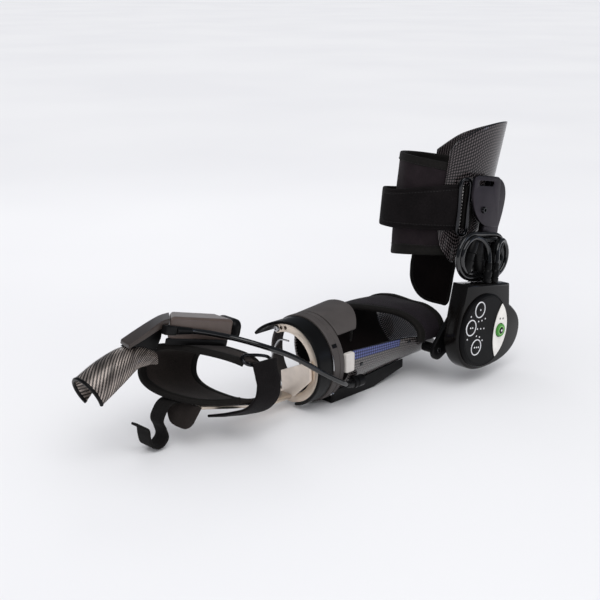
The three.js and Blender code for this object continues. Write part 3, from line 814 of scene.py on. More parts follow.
FINISHES = {
    "cover_cloth": lambda n: cloth(n, colours().cloth),
    "pad_cloth": lambda n: cloth(n, colours().pad, 1300, 0.0003, 0.05),
    "strap_cloth": lambda n: cloth(n, colours().strap_cloth, 1100, 0.0004, 0.06),
    "loop_pile": lambda n: cloth(n, colours().pile, 750, 0.0006, 0.04),
    "lining_cloth": lambda n: cloth(n, colours().lining, 1700, 0.0002, 0.02),
    "binding_tape": lambda n: ribbed(n, colours().binding, 0.0012),
    "strap_webbing": lambda n: ribbed(n, colours().webbing, 0.0016),
    "carbon_laminate": lambda n: laminate(
        n, (0.0022, 0.0021, 0.0022), colours().laminate, sizes().tow, 45, 1, 0.35, (0.26, 0.4), 0.35
    ),
    # Partly the laminate's weave, partly painted reflection: a brighter copy of the shell's laminate,
    # standing for the floor's reflection in the trough's near wall.
    "trough_laminate": lambda n: laminate(
        n, (0.004, 0.004, 0.004), colours().trough, sizes().tow, 45, 1, 0.35, (0.26, 0.4), 1.0
    ),
    # Strong streaks here: painted highlights along the finger's twill.
    "finger_twill": lambda n: laminate(
        n, (0.042, 0.036, 0.032), colours().finger_laminate, sizes().finger_tow, 100, 2, 0.6,
        (0.22, 0.32), 0.4, base=0.5, streaks=2.2,
    ),
    # Painted reflection: a blue laminate band that stands for the reflection along the trough's near edge;
    # there is no real film there.
    "edge_film": lambda n: laminate(
        n, (0.023, 0.029, 0.079), colours().reflection_band, sizes().tow, 45, 1, 0.2, (0.2, 0.3), 0.35
    ),
    "block_white": lambda n: moulding(n, colours().block, 0.5, 1500, 0.00004),
    "box_shell": lambda n: moulding(n, colours().motor_box, 0.34, 1800, 0.00005, 0.2),
    # Painted shade: the motor box's moulding made darker for the lever, whose near face lies in shade.
    "lever_shell": lambda n: moulding(n, colours().lever, 0.34, 1800, 0.00005, 0.2),
    "gloss_black": lambda n: moulding(n, colours().gloss_black, 0.16, 900, 0.00002, 0.08, shine=0.14),
    "satin_black": lambda n: moulding(n, colours().satin_black, 0.32, shine=0.14),
    "collar_grey": lambda n: moulding(n, colours().collar, 0.55, 2200, 0.0001),
    "keypad_film": lambda n: moulding(n, colours().keypad, 0.4, 3000, 0.00004, shine=0.08),
    "cable_jacket": lambda n: moulding(n, colours().cable, 0.14, 2000, 0.00002, shine=0.7),
    "lead_jacket": lambda n: moulding(n, colours().lead, 0.45),
    "white_moulding": lambda n: moulding(n, colours().white, 0.45, 1500, 0.00004),
    "pale_ink": lambda n: moulding(n, colours().ink, 0.5),
    "green_cap": lambda n: moulding(n, colours().green, 0.3, 1500, 0.00003, 0.4),
    "green_ring": lambda n: moulding(n, colours().light_green, 0.35),
    "bracket_alloy": lambda n: metal(n, colours().bracket, 0.38, (300, 300, 30)),
    "champagne_alloy": lambda n: metal(n, colours().champagne, 0.36, (40, 400, 400)),
    # Partly the plate's own pale alloy, partly painted highlight: a brighter, less metallic copy of the
    # champagne alloy.
    "plate_alloy": lambda n: metal(n, colours().plate, 0.42, (40, 400, 400), metallic=0.45),
    "wire_steel": lambda n: metal(n, colours().steel, 0.2),
    "dark_chrome": lambda n: metal(n, colours().dark_chrome, 0.18),
    "pale_thread": lambda n: cloth(n, colours().pale_thread, 3000, 0.0001, 0.1),
    "dark_thread": lambda n: cloth(n, colours().dark_thread, 3000, 0.0001, 0.1),
}


def finish(name):
    """The material of that name, made when it is first asked for."""
    return bpy.data.materials.get(name) or FINISHES[name](name)


def size(label, about, default):
    return FloatProperty(name=label, description=about, default=default, unit="LENGTH", precision=4)


def colour(label, about, *default):
    return FloatVectorProperty(
        name=label, description=about, default=default, subtype="COLOR", min=0.0, max=1.0
    )


class OrthosisSizes(bpy.types.PropertyGroup):
    """Sizes of what dresses the frame."""

    cable: size("Cable", "Diameter of the hand and service cables", 0.005)
    lead: size("Sensor lead", "Diameter of the two thin leads", 0.0022)
    tow: size("Tow", "Width of a yarn in the carbon laminate", 0.0019)
    finger_tow: size("Finger tow", "Width of a yarn in the finger laminate", 0.0007)
    binding: size("Binding", "How far edge tape reaches over a cloth edge", 0.0085)
    stitch: size("Stitch", "Length of one stitch", 0.0021)
    pitch: size("Stitch pitch", "Step from stitch to stitch", 0.003)
    thread: size("Thread", "Half thickness of the thread", 0.0003)


class OrthosisColours(bpy.types.PropertyGroup):
    """Colours of the finishes."""

    cloth: colour("Cover cloth", "Cuff cover and collar lining", 0.0150, 0.0108, 0.0128)
    pad: colour("Pad cloth", "Hand loop and its tongue", 0.0225, 0.0180, 0.0165)
    strap_cloth: colour("Strap cloth", "Cover of the forearm strap", 0.0112, 0.0082, 0.0112)
    pile: colour("Pile", "Hook-and-loop face of the straps", 0.0055, 0.0043, 0.0047)
    lining: colour("Lining", "Cuff flap and trough lining", 0.0062, 0.0042, 0.0042)
    binding: colour("Binding", "Edge tape", 0.0095, 0.0085, 0.0078)
    webbing: colour("Webbing", "Strap tab and thumb strap", 0.0090, 0.0082, 0.0078)
    laminate: colour("Laminate", "Bright yarn of the upper arm shell", 0.130, 0.107, 0.110)
    # Painted reflection: brighter than the shell's laminate, for the floor reflected in the trough's near
    # wall.
    trough: colour("Trough", "Bright yarn of the forearm trough", 0.190, 0.164, 0.158)
    # Painted reflection: the blue of a reflection along the trough's near rim.
    reflection_band: colour("Blue reflection", "Blue strip along the trough edge", 0.088, 0.108, 0.315)
    finger_laminate: colour("Finger laminate", "Bright yarn of the finger trough", 0.45, 0.385, 0.345)
    motor_box: colour("Motor box", "Box on the back of the hand", 0.088, 0.065, 0.056)
    gloss_black: colour("Gloss black", "Motor housing and the power button's middle", 0.0036, 0.0031, 0.0029)
    satin_black: colour("Satin black", "Rail, link, visor and plugs", 0.0045, 0.0044, 0.0046)
    collar: colour("Collar", "Wrist collar and its cover", 0.064, 0.056, 0.0535)
    keypad: colour("Keypad", "Film of the keypad", 0.0045, 0.0045, 0.0050)
    cable: colour("Cable", "Cable jacket", 0.0040, 0.0040, 0.0043)
    lead: colour("Lead", "Sensor leads and the label's marks", 0.11, 0.108, 0.106)
    white: colour("White", "White mouldings", 0.80, 0.78, 0.74)
    block: colour("Block", "Pale block at the collar", 0.56, 0.53, 0.50)
    ink: colour("Ink", "Key rings, marks and lamps", 0.72, 0.72, 0.74)
    green: colour("Green", "Power button", 0.05, 0.26, 0.03)
    light_green: colour("Light green", "Rings on the power button", 0.30, 0.62, 0.20)
    bracket: colour("Bracket", "Satin bracket and upright", 0.040, 0.035, 0.0415)
    # Painted shade: about half the motor box's colour, for the shaded lever.
    lever: colour("Lever", "Finger lever", 0.040, 0.031, 0.027)
    champagne: colour("Champagne", "Wrist ring and palm bar", 0.76, 0.66, 0.56)
    # Partly painted highlight: paler than the champagne alloy, for the glint on the plate.
    plate: colour("Plate", "Slanted plate in the wrist ring", 0.80, 0.71, 0.63)
    steel: colour("Steel", "Wire and screws", 0.42, 0.42, 0.43)
    dark_chrome: colour("Dark chrome", "Strap rings, rivets and bracket screw", 0.045, 0.045, 0.048)
    pale_thread: colour("Pale thread", "Thread of the zigzag seams", 0.42, 0.41, 0.40)
    dark_thread: colour("Dark thread", "Thread of the plain seams", 0.020, 0.019, 0.019)


class ORTHOSIS_OT_stage(bpy.types.Operator):
    """Floor, lights and camera"""

    bl_idname = "orthosis.stage"
    bl_label = "Stage"

    def execute(self, context):
        floor = bmesh.new()
        bmesh.ops.create_grid(
            floor, x_segments=1, y_segments=1, size=FLOOR_HALF, matrix=Matrix.Translation((0, 0, -FLOOR_DROP))
        )
        ground = from_work("studio_floor", floor)
        material, tree, shader = principled("studio_floor", roughness=0.85)
        place = node(tree, "ShaderNodeTexCoord").outputs["Object"]
        tint = shades(tree, speckle(tree, place, 1.5), (0.80, 0.80, 0.815, 1), (0.83, 0.83, 0.84, 1))
        tree.links.new(tint, shader.inputs["Base Color"])
        ground.data.materials.append(material)
        world = bpy.data.worlds.new("studio")
        world.use_nodes = True
        sky = world.node_tree.nodes["Background"]
        sky.inputs["Color"].default_value = (0.97, 0.975, 1.0, 1)
        sky.inputs["Strength"].default_value = 0.86
        dim = node(world.node_tree, "ShaderNodeBackground", {"Color": (0.75, 0.85, 1.0, 1), "Strength": 0.16})
        ray = node(world.node_tree, "ShaderNodeLightPath").outputs["Is Glossy Ray"]
        mixed = node(world.node_tree, "ShaderNodeMixShader", {0: ray, 1: sky.outputs[0], 2: dim.outputs[0]})
        leave = world.node_tree.nodes["World Output"]
        world.node_tree.links.new(mixed.outputs[0], leave.inputs["Surface"])
        context.scene.world = world
        lamps = (
            ("sun", "SUN", (-0.5, -0.9, 1.6), 1.0, 0.9),
            ("key_panel", "AREA", (-0.75, -0.55, 1.0), 0.7, 0.26),
            ("side_panel", "AREA", (0.75, -0.9, 0.30), 0.25, 0.16),
            ("back_panel", "AREA", (0.35, 0.9, 0.75), 0.6, 0.26),
        )
        for name, kind, place, power, width in lamps:
            light = bpy.data.lights.new(name, kind)
            light.energy = power
            if kind == "SUN":
                light.angle = width
            else:
                light.size = width
            lamp = piece(name, light)
            lamp.location = place
            lamp.rotation_euler = (CAMERA_TARGET - lamp.location).to_track_quat("-Z", "Y").to_euler()
        bpy.data.lights["side_panel"].color = (0.60, 0.72, 1.0)
        camera = piece("camera", bpy.data.cameras.new("camera"))
        camera.data.lens = CAMERA_LENS
        camera.data.sensor_width = 36
        back = Vector(
            (
                sind(CAMERA_TURN) * cosd(CAMERA_RISE),
                -cosd(CAMERA_TURN) * cosd(CAMERA_RISE),
                sind(CAMERA_RISE),
            )
        )
        camera.location = CAMERA_TARGET + back * CAMERA_DISTANCE
        camera.rotation_euler = (-back).to_track_quat("-Z", "Y").to_euler()
        context.scene.camera = camera
        context.scene.view_settings.view_transform = "Standard"
        return {"FINISHED"}


# Cords

# Knots of the hand cable, from its plug to its socket
HAND_CABLE = [
    on_hand(0.1456, 0.002, 0.0265),
    on_hand(0.118, 0.0016, 0.026),
    on_hand(0.090, -0.008, 0.024),
    (-0.142, -0.021, 0.083),
    (-0.113, -0.034, 0.068),
    (-0.082, -0.0435, 0.046),
    (-0.060, -0.045, 0.032),
    (-0.046, -0.041, 0.0245),
    (-0.036, -0.0372, 0.022),
]


class ORTHOSIS_OT_hand_cable(bpy.types.Operator):
    """Cable from the finger motor to the forearm, its plug, socket and strain reliefs"""

    bl_idname = "orthosis.hand_cable"
    bl_label = "Hand cable"

    def execute(self, context):
        radius = sizes().cable / 2
        path = spline(HAND_CABLE, 72)
        box = rounded_box(-0.0055, 0.0225, 0.0015, 0.0305, 0.0012)
        place = axes(-ACROSS_HAND, OUT_OF_HAND, ALONG_HAND, on_hand(0.146, 0, 0))
        plug = settle(
            plate("cable_plug_body", box, place, 0.012, 0.0008),
            "hand",
            "satin_black",
            ["cable_plug"],
        )
        cable = sweep("hand_cable_jacket", path, disc(radius, 20))
        settle(cable, None, "cable_jacket", ["hand_cable"])
        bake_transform(cable)
        sleeve = sweep("cable_sleeve_hand", path[:7], disc(radius, 20), swell=lambda t: 1.55 - 0.42 * t)
        settle(sleeve, "hand", "satin_black")
        end = spline(path[-6:], 24)
        boot = sweep(
            "cable_sleeve_forearm",
            end,
            disc(radius, 20),
            swell=lambda t: 1.12 + 0.5 * t + 0.06 * math.cos(t * 44),
        )
        settle(boot, "forearm", "satin_black")
        socket = [
            (0, -0.0065),
            (0.0046, -0.0065),
            (0.0054, -0.0058),
            (0.0056, -0.003),
            (0.0048, -0.0026),
            (0.0048, -0.0016),
            (0.0056, -0.0012),
            (0.0056, 0.0062),
            (0.0050, 0.0065),
            (0, 0.0065),
        ]
        seat = across_arm(-0.0285, -0.0369, 0.022)
        settle(
            lathe("cable_socket_body", socket, seat, turns=32),
            "forearm",
            "satin_black",
            ["cable_socket"],
        )
        return {"FINISHED"}


COIL_CENTRE = (0.005, -0.069, 0.0716)
COIL_HALF_X = 0.038
COIL_HALF_Z = 0.019
COIL_LAY = 0.003
COIL_ROUND = 2 * math.pi * COIL_HALF_Z + 4 * (COIL_HALF_X - COIL_HALF_Z)
COIL_TURNS = 2.5
# Plugs of the service cable: name, x, side that its lead turns to, and the lead's bend
COIL_PLUGS = (("a", 0.004, -1, 0.018), ("b", 0.017, 1, 0.012))
COIL_LEAD_FOOT = 0.0603
COIL_PLUG_Y = -0.0795
COIL_PLUG_MIDDLE = 0.0534
# Clips on the coil: x, and lean in radians
COIL_CLIPS = ((-0.017, 0.2), (-0.002, -0.3), (0.026, 0.25))


def oval(turn):
    """Point and outward direction on the coil's oval, in x and z: turn 0 is its left end, 0.25 its foot."""
    straight = COIL_HALF_X - COIL_HALF_Z
    half_arc = math.pi * COIL_HALF_Z
    at = (turn % 1.0) * COIL_ROUND + half_arc / 2
    for side in (-1, 1):
        if at <= half_arc:
            a = 90 + 180 * at / half_arc
            out = Vector((cosd(a), sind(a))) * -side
            return Vector((side * straight, 0)) + out * COIL_HALF_Z, out
        at -= half_arc
        if at <= 2 * straight:
            return Vector((side * (straight - at), side * COIL_HALF_Z)), Vector((0, side))
        at -= 2 * straight
    a = 90 + 180 * at / half_arc
    out = Vector((cosd(a), sind(a)))
    return Vector((-straight, 0)) + out * COIL_HALF_Z, out


def coil_lead(x, side, bend):
    """The stretch from a plug up and round into the coil, and the part of a turn by which it joins early."""
    middle = x + side * bend
    rest = COIL_HALF_Z - bend
    aside = side * (middle - COIL_CENTRE[0]) - (COIL_HALF_X - COIL_HALF_Z)
    join = math.acos(max(0.0, aside / rest))
    top = COIL_CENTRE[2] + rest * math.sin(join)
    places = [(x, lerp(COIL_LEAD_FOOT, top, k / 4)) for k in range(4)]
    for k in range(10):
        a = (math.pi - join) * k / 10
        places.append((middle - side * bend * math.cos(a), top + bend * math.sin(a)))
    points = []
    for k, (at_x, at_z) in enumerate(places):
        part = max(0, k - 2) / (len(places) - 2)
        points.append(on_upper(at_x, lerp(COIL_PLUG_Y, COIL_CENTRE[1] - COIL_LAY, part), at_z))
    return points, join * COIL_HALF_Z / COIL_ROUND


class ORTHOSIS_OT_service_cable(bpy.types.Operator):
    """Coiled cable above the motor and its two plugs"""

    bl_idname = "orthosis.service_cable"
    bl_label = "Service cable"

    def execute(self, context):
        radius = sizes().cable / 2
        lead_a, early_a = coil_lead(*COIL_PLUGS[0][1:])
        lead_b, early_b = coil_lead(*COIL_PLUGS[1][1:])
        turns = []
        steps = 160
        for k in range(steps + 1):
            point, out = oval(lerp(-early_a, COIL_TURNS + early_b, k / steps))
            lay = 360 * k / steps
            flat = point + out * (-COIL_LAY * sind(lay))
            turns.append(
                on_upper(
                    COIL_CENTRE[0] + flat.x,
                    COIL_CENTRE[1] - COIL_LAY * cosd(lay),
                    COIL_CENTRE[2] + flat.y,
                )
            )
        path = spline([*lead_a, *turns, *reversed(lead_b)], 320)
        coil = sweep("service_cable_jacket", path, disc(radius, 14))
        settle(coil, "upper_arm", "cable_jacket", ["cable_coil", "coil_lead_a", "coil_lead_b"])
        profile = [
            (0, -0.0065),
            (0.0040, -0.0065),
            (0.0042, -0.0062),
            (0.0042, -0.0020),
            (0.0037, -0.0016),
            (0.0037, -0.0006),
            (0.0042, -0.0002),
            (0.0042, 0.0040),
            (0.0034, 0.0062),
            (0.0031, 0.0065),
            (0.0031, 0.0110),
            (0.0026, 0.0135),
            (0, 0.0135),
        ]
        clip = [(0, -0.017), (0.0048, -0.017), (0.0062, -0.015), (0.0062, -0.004), (0.0054, -0.0034)]
        clip += [(r, -z) for r, z in reversed(clip)]
        for k, (x, lean) in enumerate(COIL_CLIPS):
            place = UPPER @ Matrix.Translation((x, *COIL_CENTRE[1:])) @ Matrix.Rotation(lean, 4, "Y")
            settle(lathe(f"coil_clip_{k}", clip, place, turns=28), "upper_arm", "satin_black")
        for end, x, _, _ in COIL_PLUGS:
            place = UPPER @ Matrix.Translation((x, COIL_PLUG_Y, COIL_PLUG_MIDDLE))
            plug = lathe(f"service_plug_{end}", profile, place, turns=28)
            settle(plug, "upper_arm", "satin_black", [f"coil_plug_{end}"])
        return {"FINISHED"}


# Sensor leads: name, end in the trough, and y where each leaves the collar
LEAD_ENDS = (("a", (0.036, 0.0304, 0.031), -0.002), ("b", (0.042, 0.0342, 0.040), 0.005))


class ORTHOSIS_OT_sensor_leads(bpy.types.Operator):
    """Two thin leads from the collar into the trough"""

    bl_idname = "orthosis.sensor_leads"
    bl_label = "Sensor leads"

    def execute(self, context):
        radius = sizes().lead / 2
        for end, (x, y, z), shift in LEAD_ENDS:
            route = [
                (-0.047, shift, 0.0823 + 0.06 * shift),
                (-0.020, 0.001 + shift, 0.080),
                (0.008, 0.009 + shift, 0.067),
                (x - 0.006, y - 0.006, z + 0.009),
                (x, y, z),
            ]
            path = spline(route, 40)
            lead = sweep(f"sensor_lead_{end}_jacket", path, disc(radius, 12))
            settle(lead, "forearm", "lead_jacket", [f"sensor_lead_{end}"])
        return {"FINISHED"}


# Upper arm

CUFF_WALL = 0.0032
CUFF_FOOT, CUFF_FOOT_TILT = 0.064, 0.005
CUFF_TOP, CUFF_TOP_TILT = 0.161, -0.003
# Rows of the carbon shell's edges: angle round the arm, lower and upper height
SHELL_EDGE = (
    (-45, 0.092, 0.170),
    (-40, 0.078, 0.179),
    (-30, 0.068, 0.1865),
    (-17, 0.0625, 0.195),
    (-3, 0.084, 0.2005),
    (11, 0.092, 0.204),
    (41, 0.104, 0.2065),
    (70, 0.112, 0.205),
    (96, 0.114, 0.199),
    (113, 0.115, 0.193),
    (126, 0.116, 0.1865),
    (148, 0.118, 0.169),
)
STRAP_MIDDLE, STRAP_DROP = 0.1175, 0.010
STRAP_HALF, STRAP_TAPER = 0.0235, 0.0042
STRAP_THICK = 0.0025
STRAP_FROM, STRAP_TO = -21.5, -214
STRAP_NARROW_AT, STRAP_NARROW_OVER = -105, 80
STRAP_SLANT = -100
STRAP_OFF, STRAP_BULGE = 0.0064, 0.009
STRAP_BULGE_AT, STRAP_BULGE_OVER = -126, 32


def cuff_rims(a):
    """Heights of the cuff's lower and upper rim."""
    return CUFF_FOOT + CUFF_FOOT_TILT * cosd(a), CUFF_TOP + CUFF_TOP_TILT * cosd(a)


def outward(a, z):
    """Direction out of the upper arm at a point round it."""
    return (round_arm(a, z, 0.001) - round_arm(a, z, 0)).normalized()


class ORTHOSIS_OT_cuff(bpy.types.Operator):
    """Padded upper arm cuff with bound rims, and the flap below it"""

    bl_idname = "orthosis.cuff"
    bl_label = "Cuff"

    def cuff_point(self, u, v, side):
        a = 360 * v
        low, high = cuff_rims(a)
        z = lerp(low, high, u)
        if side:
            return round_arm(a, z, -CUFF_WALL)
        free = bump((a + 180) % 360 - 90, 0, 62)
        fold = noise.noise(Vector((3.2 * cosd(a), 3.2 * sind(a), z * 34)))
        return round_arm(a, z, free * (0.0016 * math.sin(math.pi * u) + 0.0012 * fold))

    def bind(self, name, top, reach):
        path, sides, seam = [], [], []
        count = 120
        for k in range(count):
            a = 360 * k / count
            rim = cuff_rims(a)[top]
            way = 1 if top else -1
            z = rim - way * (reach / 2 - 0.0008)
            path.append(round_arm(a, z, -CUFF_WALL / 2))
            sides.append(outward(a, z))
            line = rim - way * (reach - 0.0022)
            seam.append((round_arm(a, line, 0.0009), outward(a, line)))
        section = tape_section(CUFF_WALL / 2 + 0.0006, reach / 2, 0.5)
        tape = sweep(name, path, section, sides, closed=True)
        settle(tape, "upper_arm", "binding_tape")
        plain_seam(name + "_seam", seam, "upper_arm", "neoprene", closed=True)

    def execute(self, context):
        cuff = soften(wall("cuff_pad", self.cuff_point, 16, 96, around=True))
        settle(cuff, "upper_arm", "cover_cloth", ["upper_arm_cuff"])
        self.bind("cuff_binding_top", 1, sizes().binding)
        self.bind("cuff_binding_foot", 0, sizes().binding * 1.35)
        self.flap()
        return {"FINISHED"}

    def flap(self):
        def shape(u, v, side):
            a = lerp(90, 166, u)
            z = lerp(0.008 + 0.024 * u**4, 0.084, v)
            wave = 0.0012 * math.sin(5 * u + 9 * v)
            return round_arm(a, z, (-0.0063 if side else -0.0036) + wave * (1 - v))

        flap = soften(wall("cuff_flap_cloth", shape, 20, 18))
        settle(flap, "upper_arm", "lining_cloth", ["cuff_flap"])
        edge = [shape(0, v / 24, 0).lerp(shape(0, v / 24, 1), 0.5) for v in range(22, 0, -1)]
        edge += [shape(u / 40, 0, 0).lerp(shape(u / 40, 0, 1), 0.5) for u in range(0, 41)]
        edge += [shape(1, v / 24, 0).lerp(shape(1, v / 24, 1), 0.5) for v in range(1, 23)]
        piping = sweep("cuff_flap_piping", spline(edge[::3], 120), disc(0.0018, 12))
        settle(piping, "upper_arm", "binding_tape")


class ORTHOSIS_OT_upper_shell(bpy.types.Operator):
    """Carbon half shell behind the upper arm"""

    bl_idname = "orthosis.upper_shell"
    bl_label = "Upper shell"

    def execute(self, context):
        def shape(u, v, side):
            a = lerp(SHELL_EDGE[0][0], SHELL_EDGE[-1][0], u)
            low, high = row_at(SHELL_EDGE, a)
            return round_arm(a, lerp(low, high, v), 0.0005 if side else 0.003)

        shell = ease_edges(wall("upper_shell_laminate", shape, 72, 28), 0.0007)
        settle(shell, "upper_arm", "carbon_laminate", ["upper_arm_shell"])
        return {"FINISHED"}


def strap_slant(z):
    """How far the strap's ring end leans with height."""
    return STRAP_SLANT * (z - STRAP_MIDDLE)


def strap_place(along, across, inset=0.0):
    """Angle and height on the strap: along runs from its ring end, across from -1 to 1 over its width."""
    turn = lerp(STRAP_FROM, STRAP_TO, along)
    t = max(0.0, min(1.0, (turn - STRAP_NARROW_AT) / STRAP_NARROW_OVER))
    half = STRAP_HALF - STRAP_TAPER * (1 - t) - inset
    z = STRAP_MIDDLE - STRAP_DROP * (1 - t) + half * across
    return turn + strap_slant(z) * (1 - along), z


def upper_strap_off(a):
    """How far out of the arm the strap lies."""
    return STRAP_OFF + STRAP_BULGE * bump(a, STRAP_BULGE_AT, STRAP_BULGE_OVER)


class ORTHOSIS_OT_upper_strap(bpy.types.Operator):
    """Strap over the cuff with its pile panel, wire ring, tab and seams"""

    bl_idname = "orthosis.upper_strap"
    bl_label = "Upper strap"

    def execute(self, context):
        def shape(u, v, side):
            a, z = strap_place(u, 2 * v - 1)
            off = upper_strap_off(a) - (STRAP_THICK if side else 0)
            return round_arm(a, z, off + 0.0004 * math.sin(a * 0.21) * (2 * v - 1))

        strap = soften(wall("upper_strap_band", shape, 72, 8))
        settle(strap, "upper_arm", "loop_pile", ["upper_arm_strap"])
        length_of([shape(k / 60, 0.5, 0) for k in range(61)])

        def panel(u, v, side):
            across = 2 * v - 1
            a, z = strap_place(lerp(0.028, 0.49 + 0.03 * (1 - across**2), u), across, 0.0035)
            return round_arm(a, z, upper_strap_off(a) + (0.0 if side else 0.0012))

        pile = soften(wall("upper_strap_pile", panel, 48, 8))
        settle(pile, "upper_arm", "loop_pile")
        for name, across in (("top", 1), ("foot", -1)):
            seam = []
            for k in range(70):
                a, z = strap_place(lerp(0.04, 0.48, k / 69), across, 0.0055)
                seam.append((round_arm(a, z, upper_strap_off(a) + 0.0013), outward(a, z)))
            plain_seam(f"upper_strap_seam_{name}", seam, "upper_arm", "webbing")
        zigzag = []
        for k in range(40):
            a, z = strap_place(0.014, 2 * k / 39 - 1, 0.002)
            zigzag.append((round_arm(a, z, upper_strap_off(a) + 0.0004), outward(a, z)))
        grow(
            "upper_strap_zigzag",
            "stitches",
            zigzag,
            "upper_arm",
            "pale_thread",
            "webbing",
            True,
            Pitch=0.0016,
            Length=0.0030,
            Thread=0.00035,
            Slant=math.radians(62),
        )
        self.ring()
        return {"FINISHED"}

    def ring(self):
        corners = (
            (-27, 0.142), (-25, 0.145), (-19, 0.145), (-17, 0.142), (-17, 0.118),
            (-17, 0.094), (-19, 0.091), (-25, 0.091), (-27, 0.094), (-27, 0.118),
        )
        line = [round_arm(a + strap_slant(z), z, 0.0089) for a, z in corners]
        wire = sweep("upper_strap_ring", spline(line, 72, closed=True), disc(0.002, 12), closed=True)
        settle(wire, "upper_arm", "dark_chrome", ["strap_ring"])

        def tab(u, v, side):
            z = lerp(0.097, 0.139, v)
            a = lerp(-20.2, -6, u) + strap_slant(z)
            return round_arm(a, z, 0.0035 if side else 0.0064 - 0.0012 * u**3)

        anchor = soften(wall("strap_tab", tab, 14, 12))
        settle(anchor, "upper_arm", "strap_webbing", ["strap_anchor"])


BRACKET_INNER = -0.0614
BRACKET_THICK = 0.0032


class ORTHOSIS_OT_bracket(bpy.types.Operator):
    """Satin bracket, upright and screws that carry the shell on the motor"""

    bl_idname = "orthosis.bracket"
    bl_label = "Bracket"

    def execute(self, context):
        outline = [(0.012, 0.1005)]
        outline += bezier((0.012, 0.1005), (0.002, 0.102), (-0.016, 0.112), (-0.0188, 0.134))
        outline += bezier((-0.0195, 0.144), (-0.0197, 0.1487), (-0.0175, 0.151), (-0.013, 0.151), 8)
        outline += bezier((0.018, 0.151), (0.022, 0.151), (0.0243, 0.149), (0.025, 0.145), 8)
        outline.append((0.031, 0.1005))
        slot = arc(-0.009, 0.1438, 0.0024, 90, 270, 10) + arc(0.0115, 0.1438, 0.0024, 270, 450, 10)
        bracket = plate(
            "bracket_plate", outline, upper_side(BRACKET_INNER), BRACKET_THICK, 0.0006, [slot]
        )
        settle(bracket, "upper_arm", "bracket_alloy", ["upper_bracket"])
        upright = [(0.012, 0.047), (0.038, 0.047), (0.038, 0.100)]
        upright += bezier((0.038, 0.100), (0.040, 0.108), (0.0425, 0.118), (0.0425, 0.128), 10)
        upright += bezier((0.0425, 0.128), (0.0425, 0.142), (0.034, 0.150), (0.022, 0.150), 14)
        upright.append((0.012, 0.150))
        bar = plate("upright_plate", upright, upper_side(-0.0546), 0.0064, 0.0006)
        settle(bar, "upper_arm", "bracket_alloy", ["upright_bar"])
        face = BRACKET_INNER - BRACKET_THICK
        big = [(on_upper(0.0023, face + 0.0002, 0.1173), UPPER_FACING)]
        screw = grow(
            "bracket_screw_head", "screws", big, "upper_arm", "dark_chrome", "steel",
            Radius=0.0036, Height=0.0024, Socket=0.0018,
        )
        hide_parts("bracket_screw")
        small = [(on_upper(0.035, -0.0608, z), UPPER_FACING) for z in (0.051, 0.0585, 0.066)]
        grow(
            "upright_screw_heads", "screws", small, "upper_arm", "wire_steel", "steel",
            Radius=0.0021, Height=0.0013, Socket=0.0011,
        )
        return {"FINISHED"}


# Elbow motor

HOUSING_BACK = -0.068
HOUSING_DEEP = 0.018
MOTOR_BACK, MOTOR_BACK_DEEP = -0.057, 0.0106
KEYPAD_BACK = -0.0863
KEYPAD_FACE = -0.0905
KEYPAD_RADIUS = 0.0374
KEYS = ((-0.0154, 0.0222), (-0.0262, 0.0045), (-0.0130, -0.0158))
KEY_RADIUS = 0.0077
LAMPS = ((-0.0288, 0.0158), (-0.0298, -0.0070))
LAMP_FIRST, LAMP_STEP = -0.0152, 0.0054
DOT_STEP = 0.0032
# Rows of three lamps: z, and how far each row bends
LEVELS = ((0.0105, 0.0003), (0.0029, 0.0), (-0.0043, -0.0006))
BUTTON = (0.023, 0.0)
LABEL_BACK = -0.0908
LABEL_FACE = -0.0915


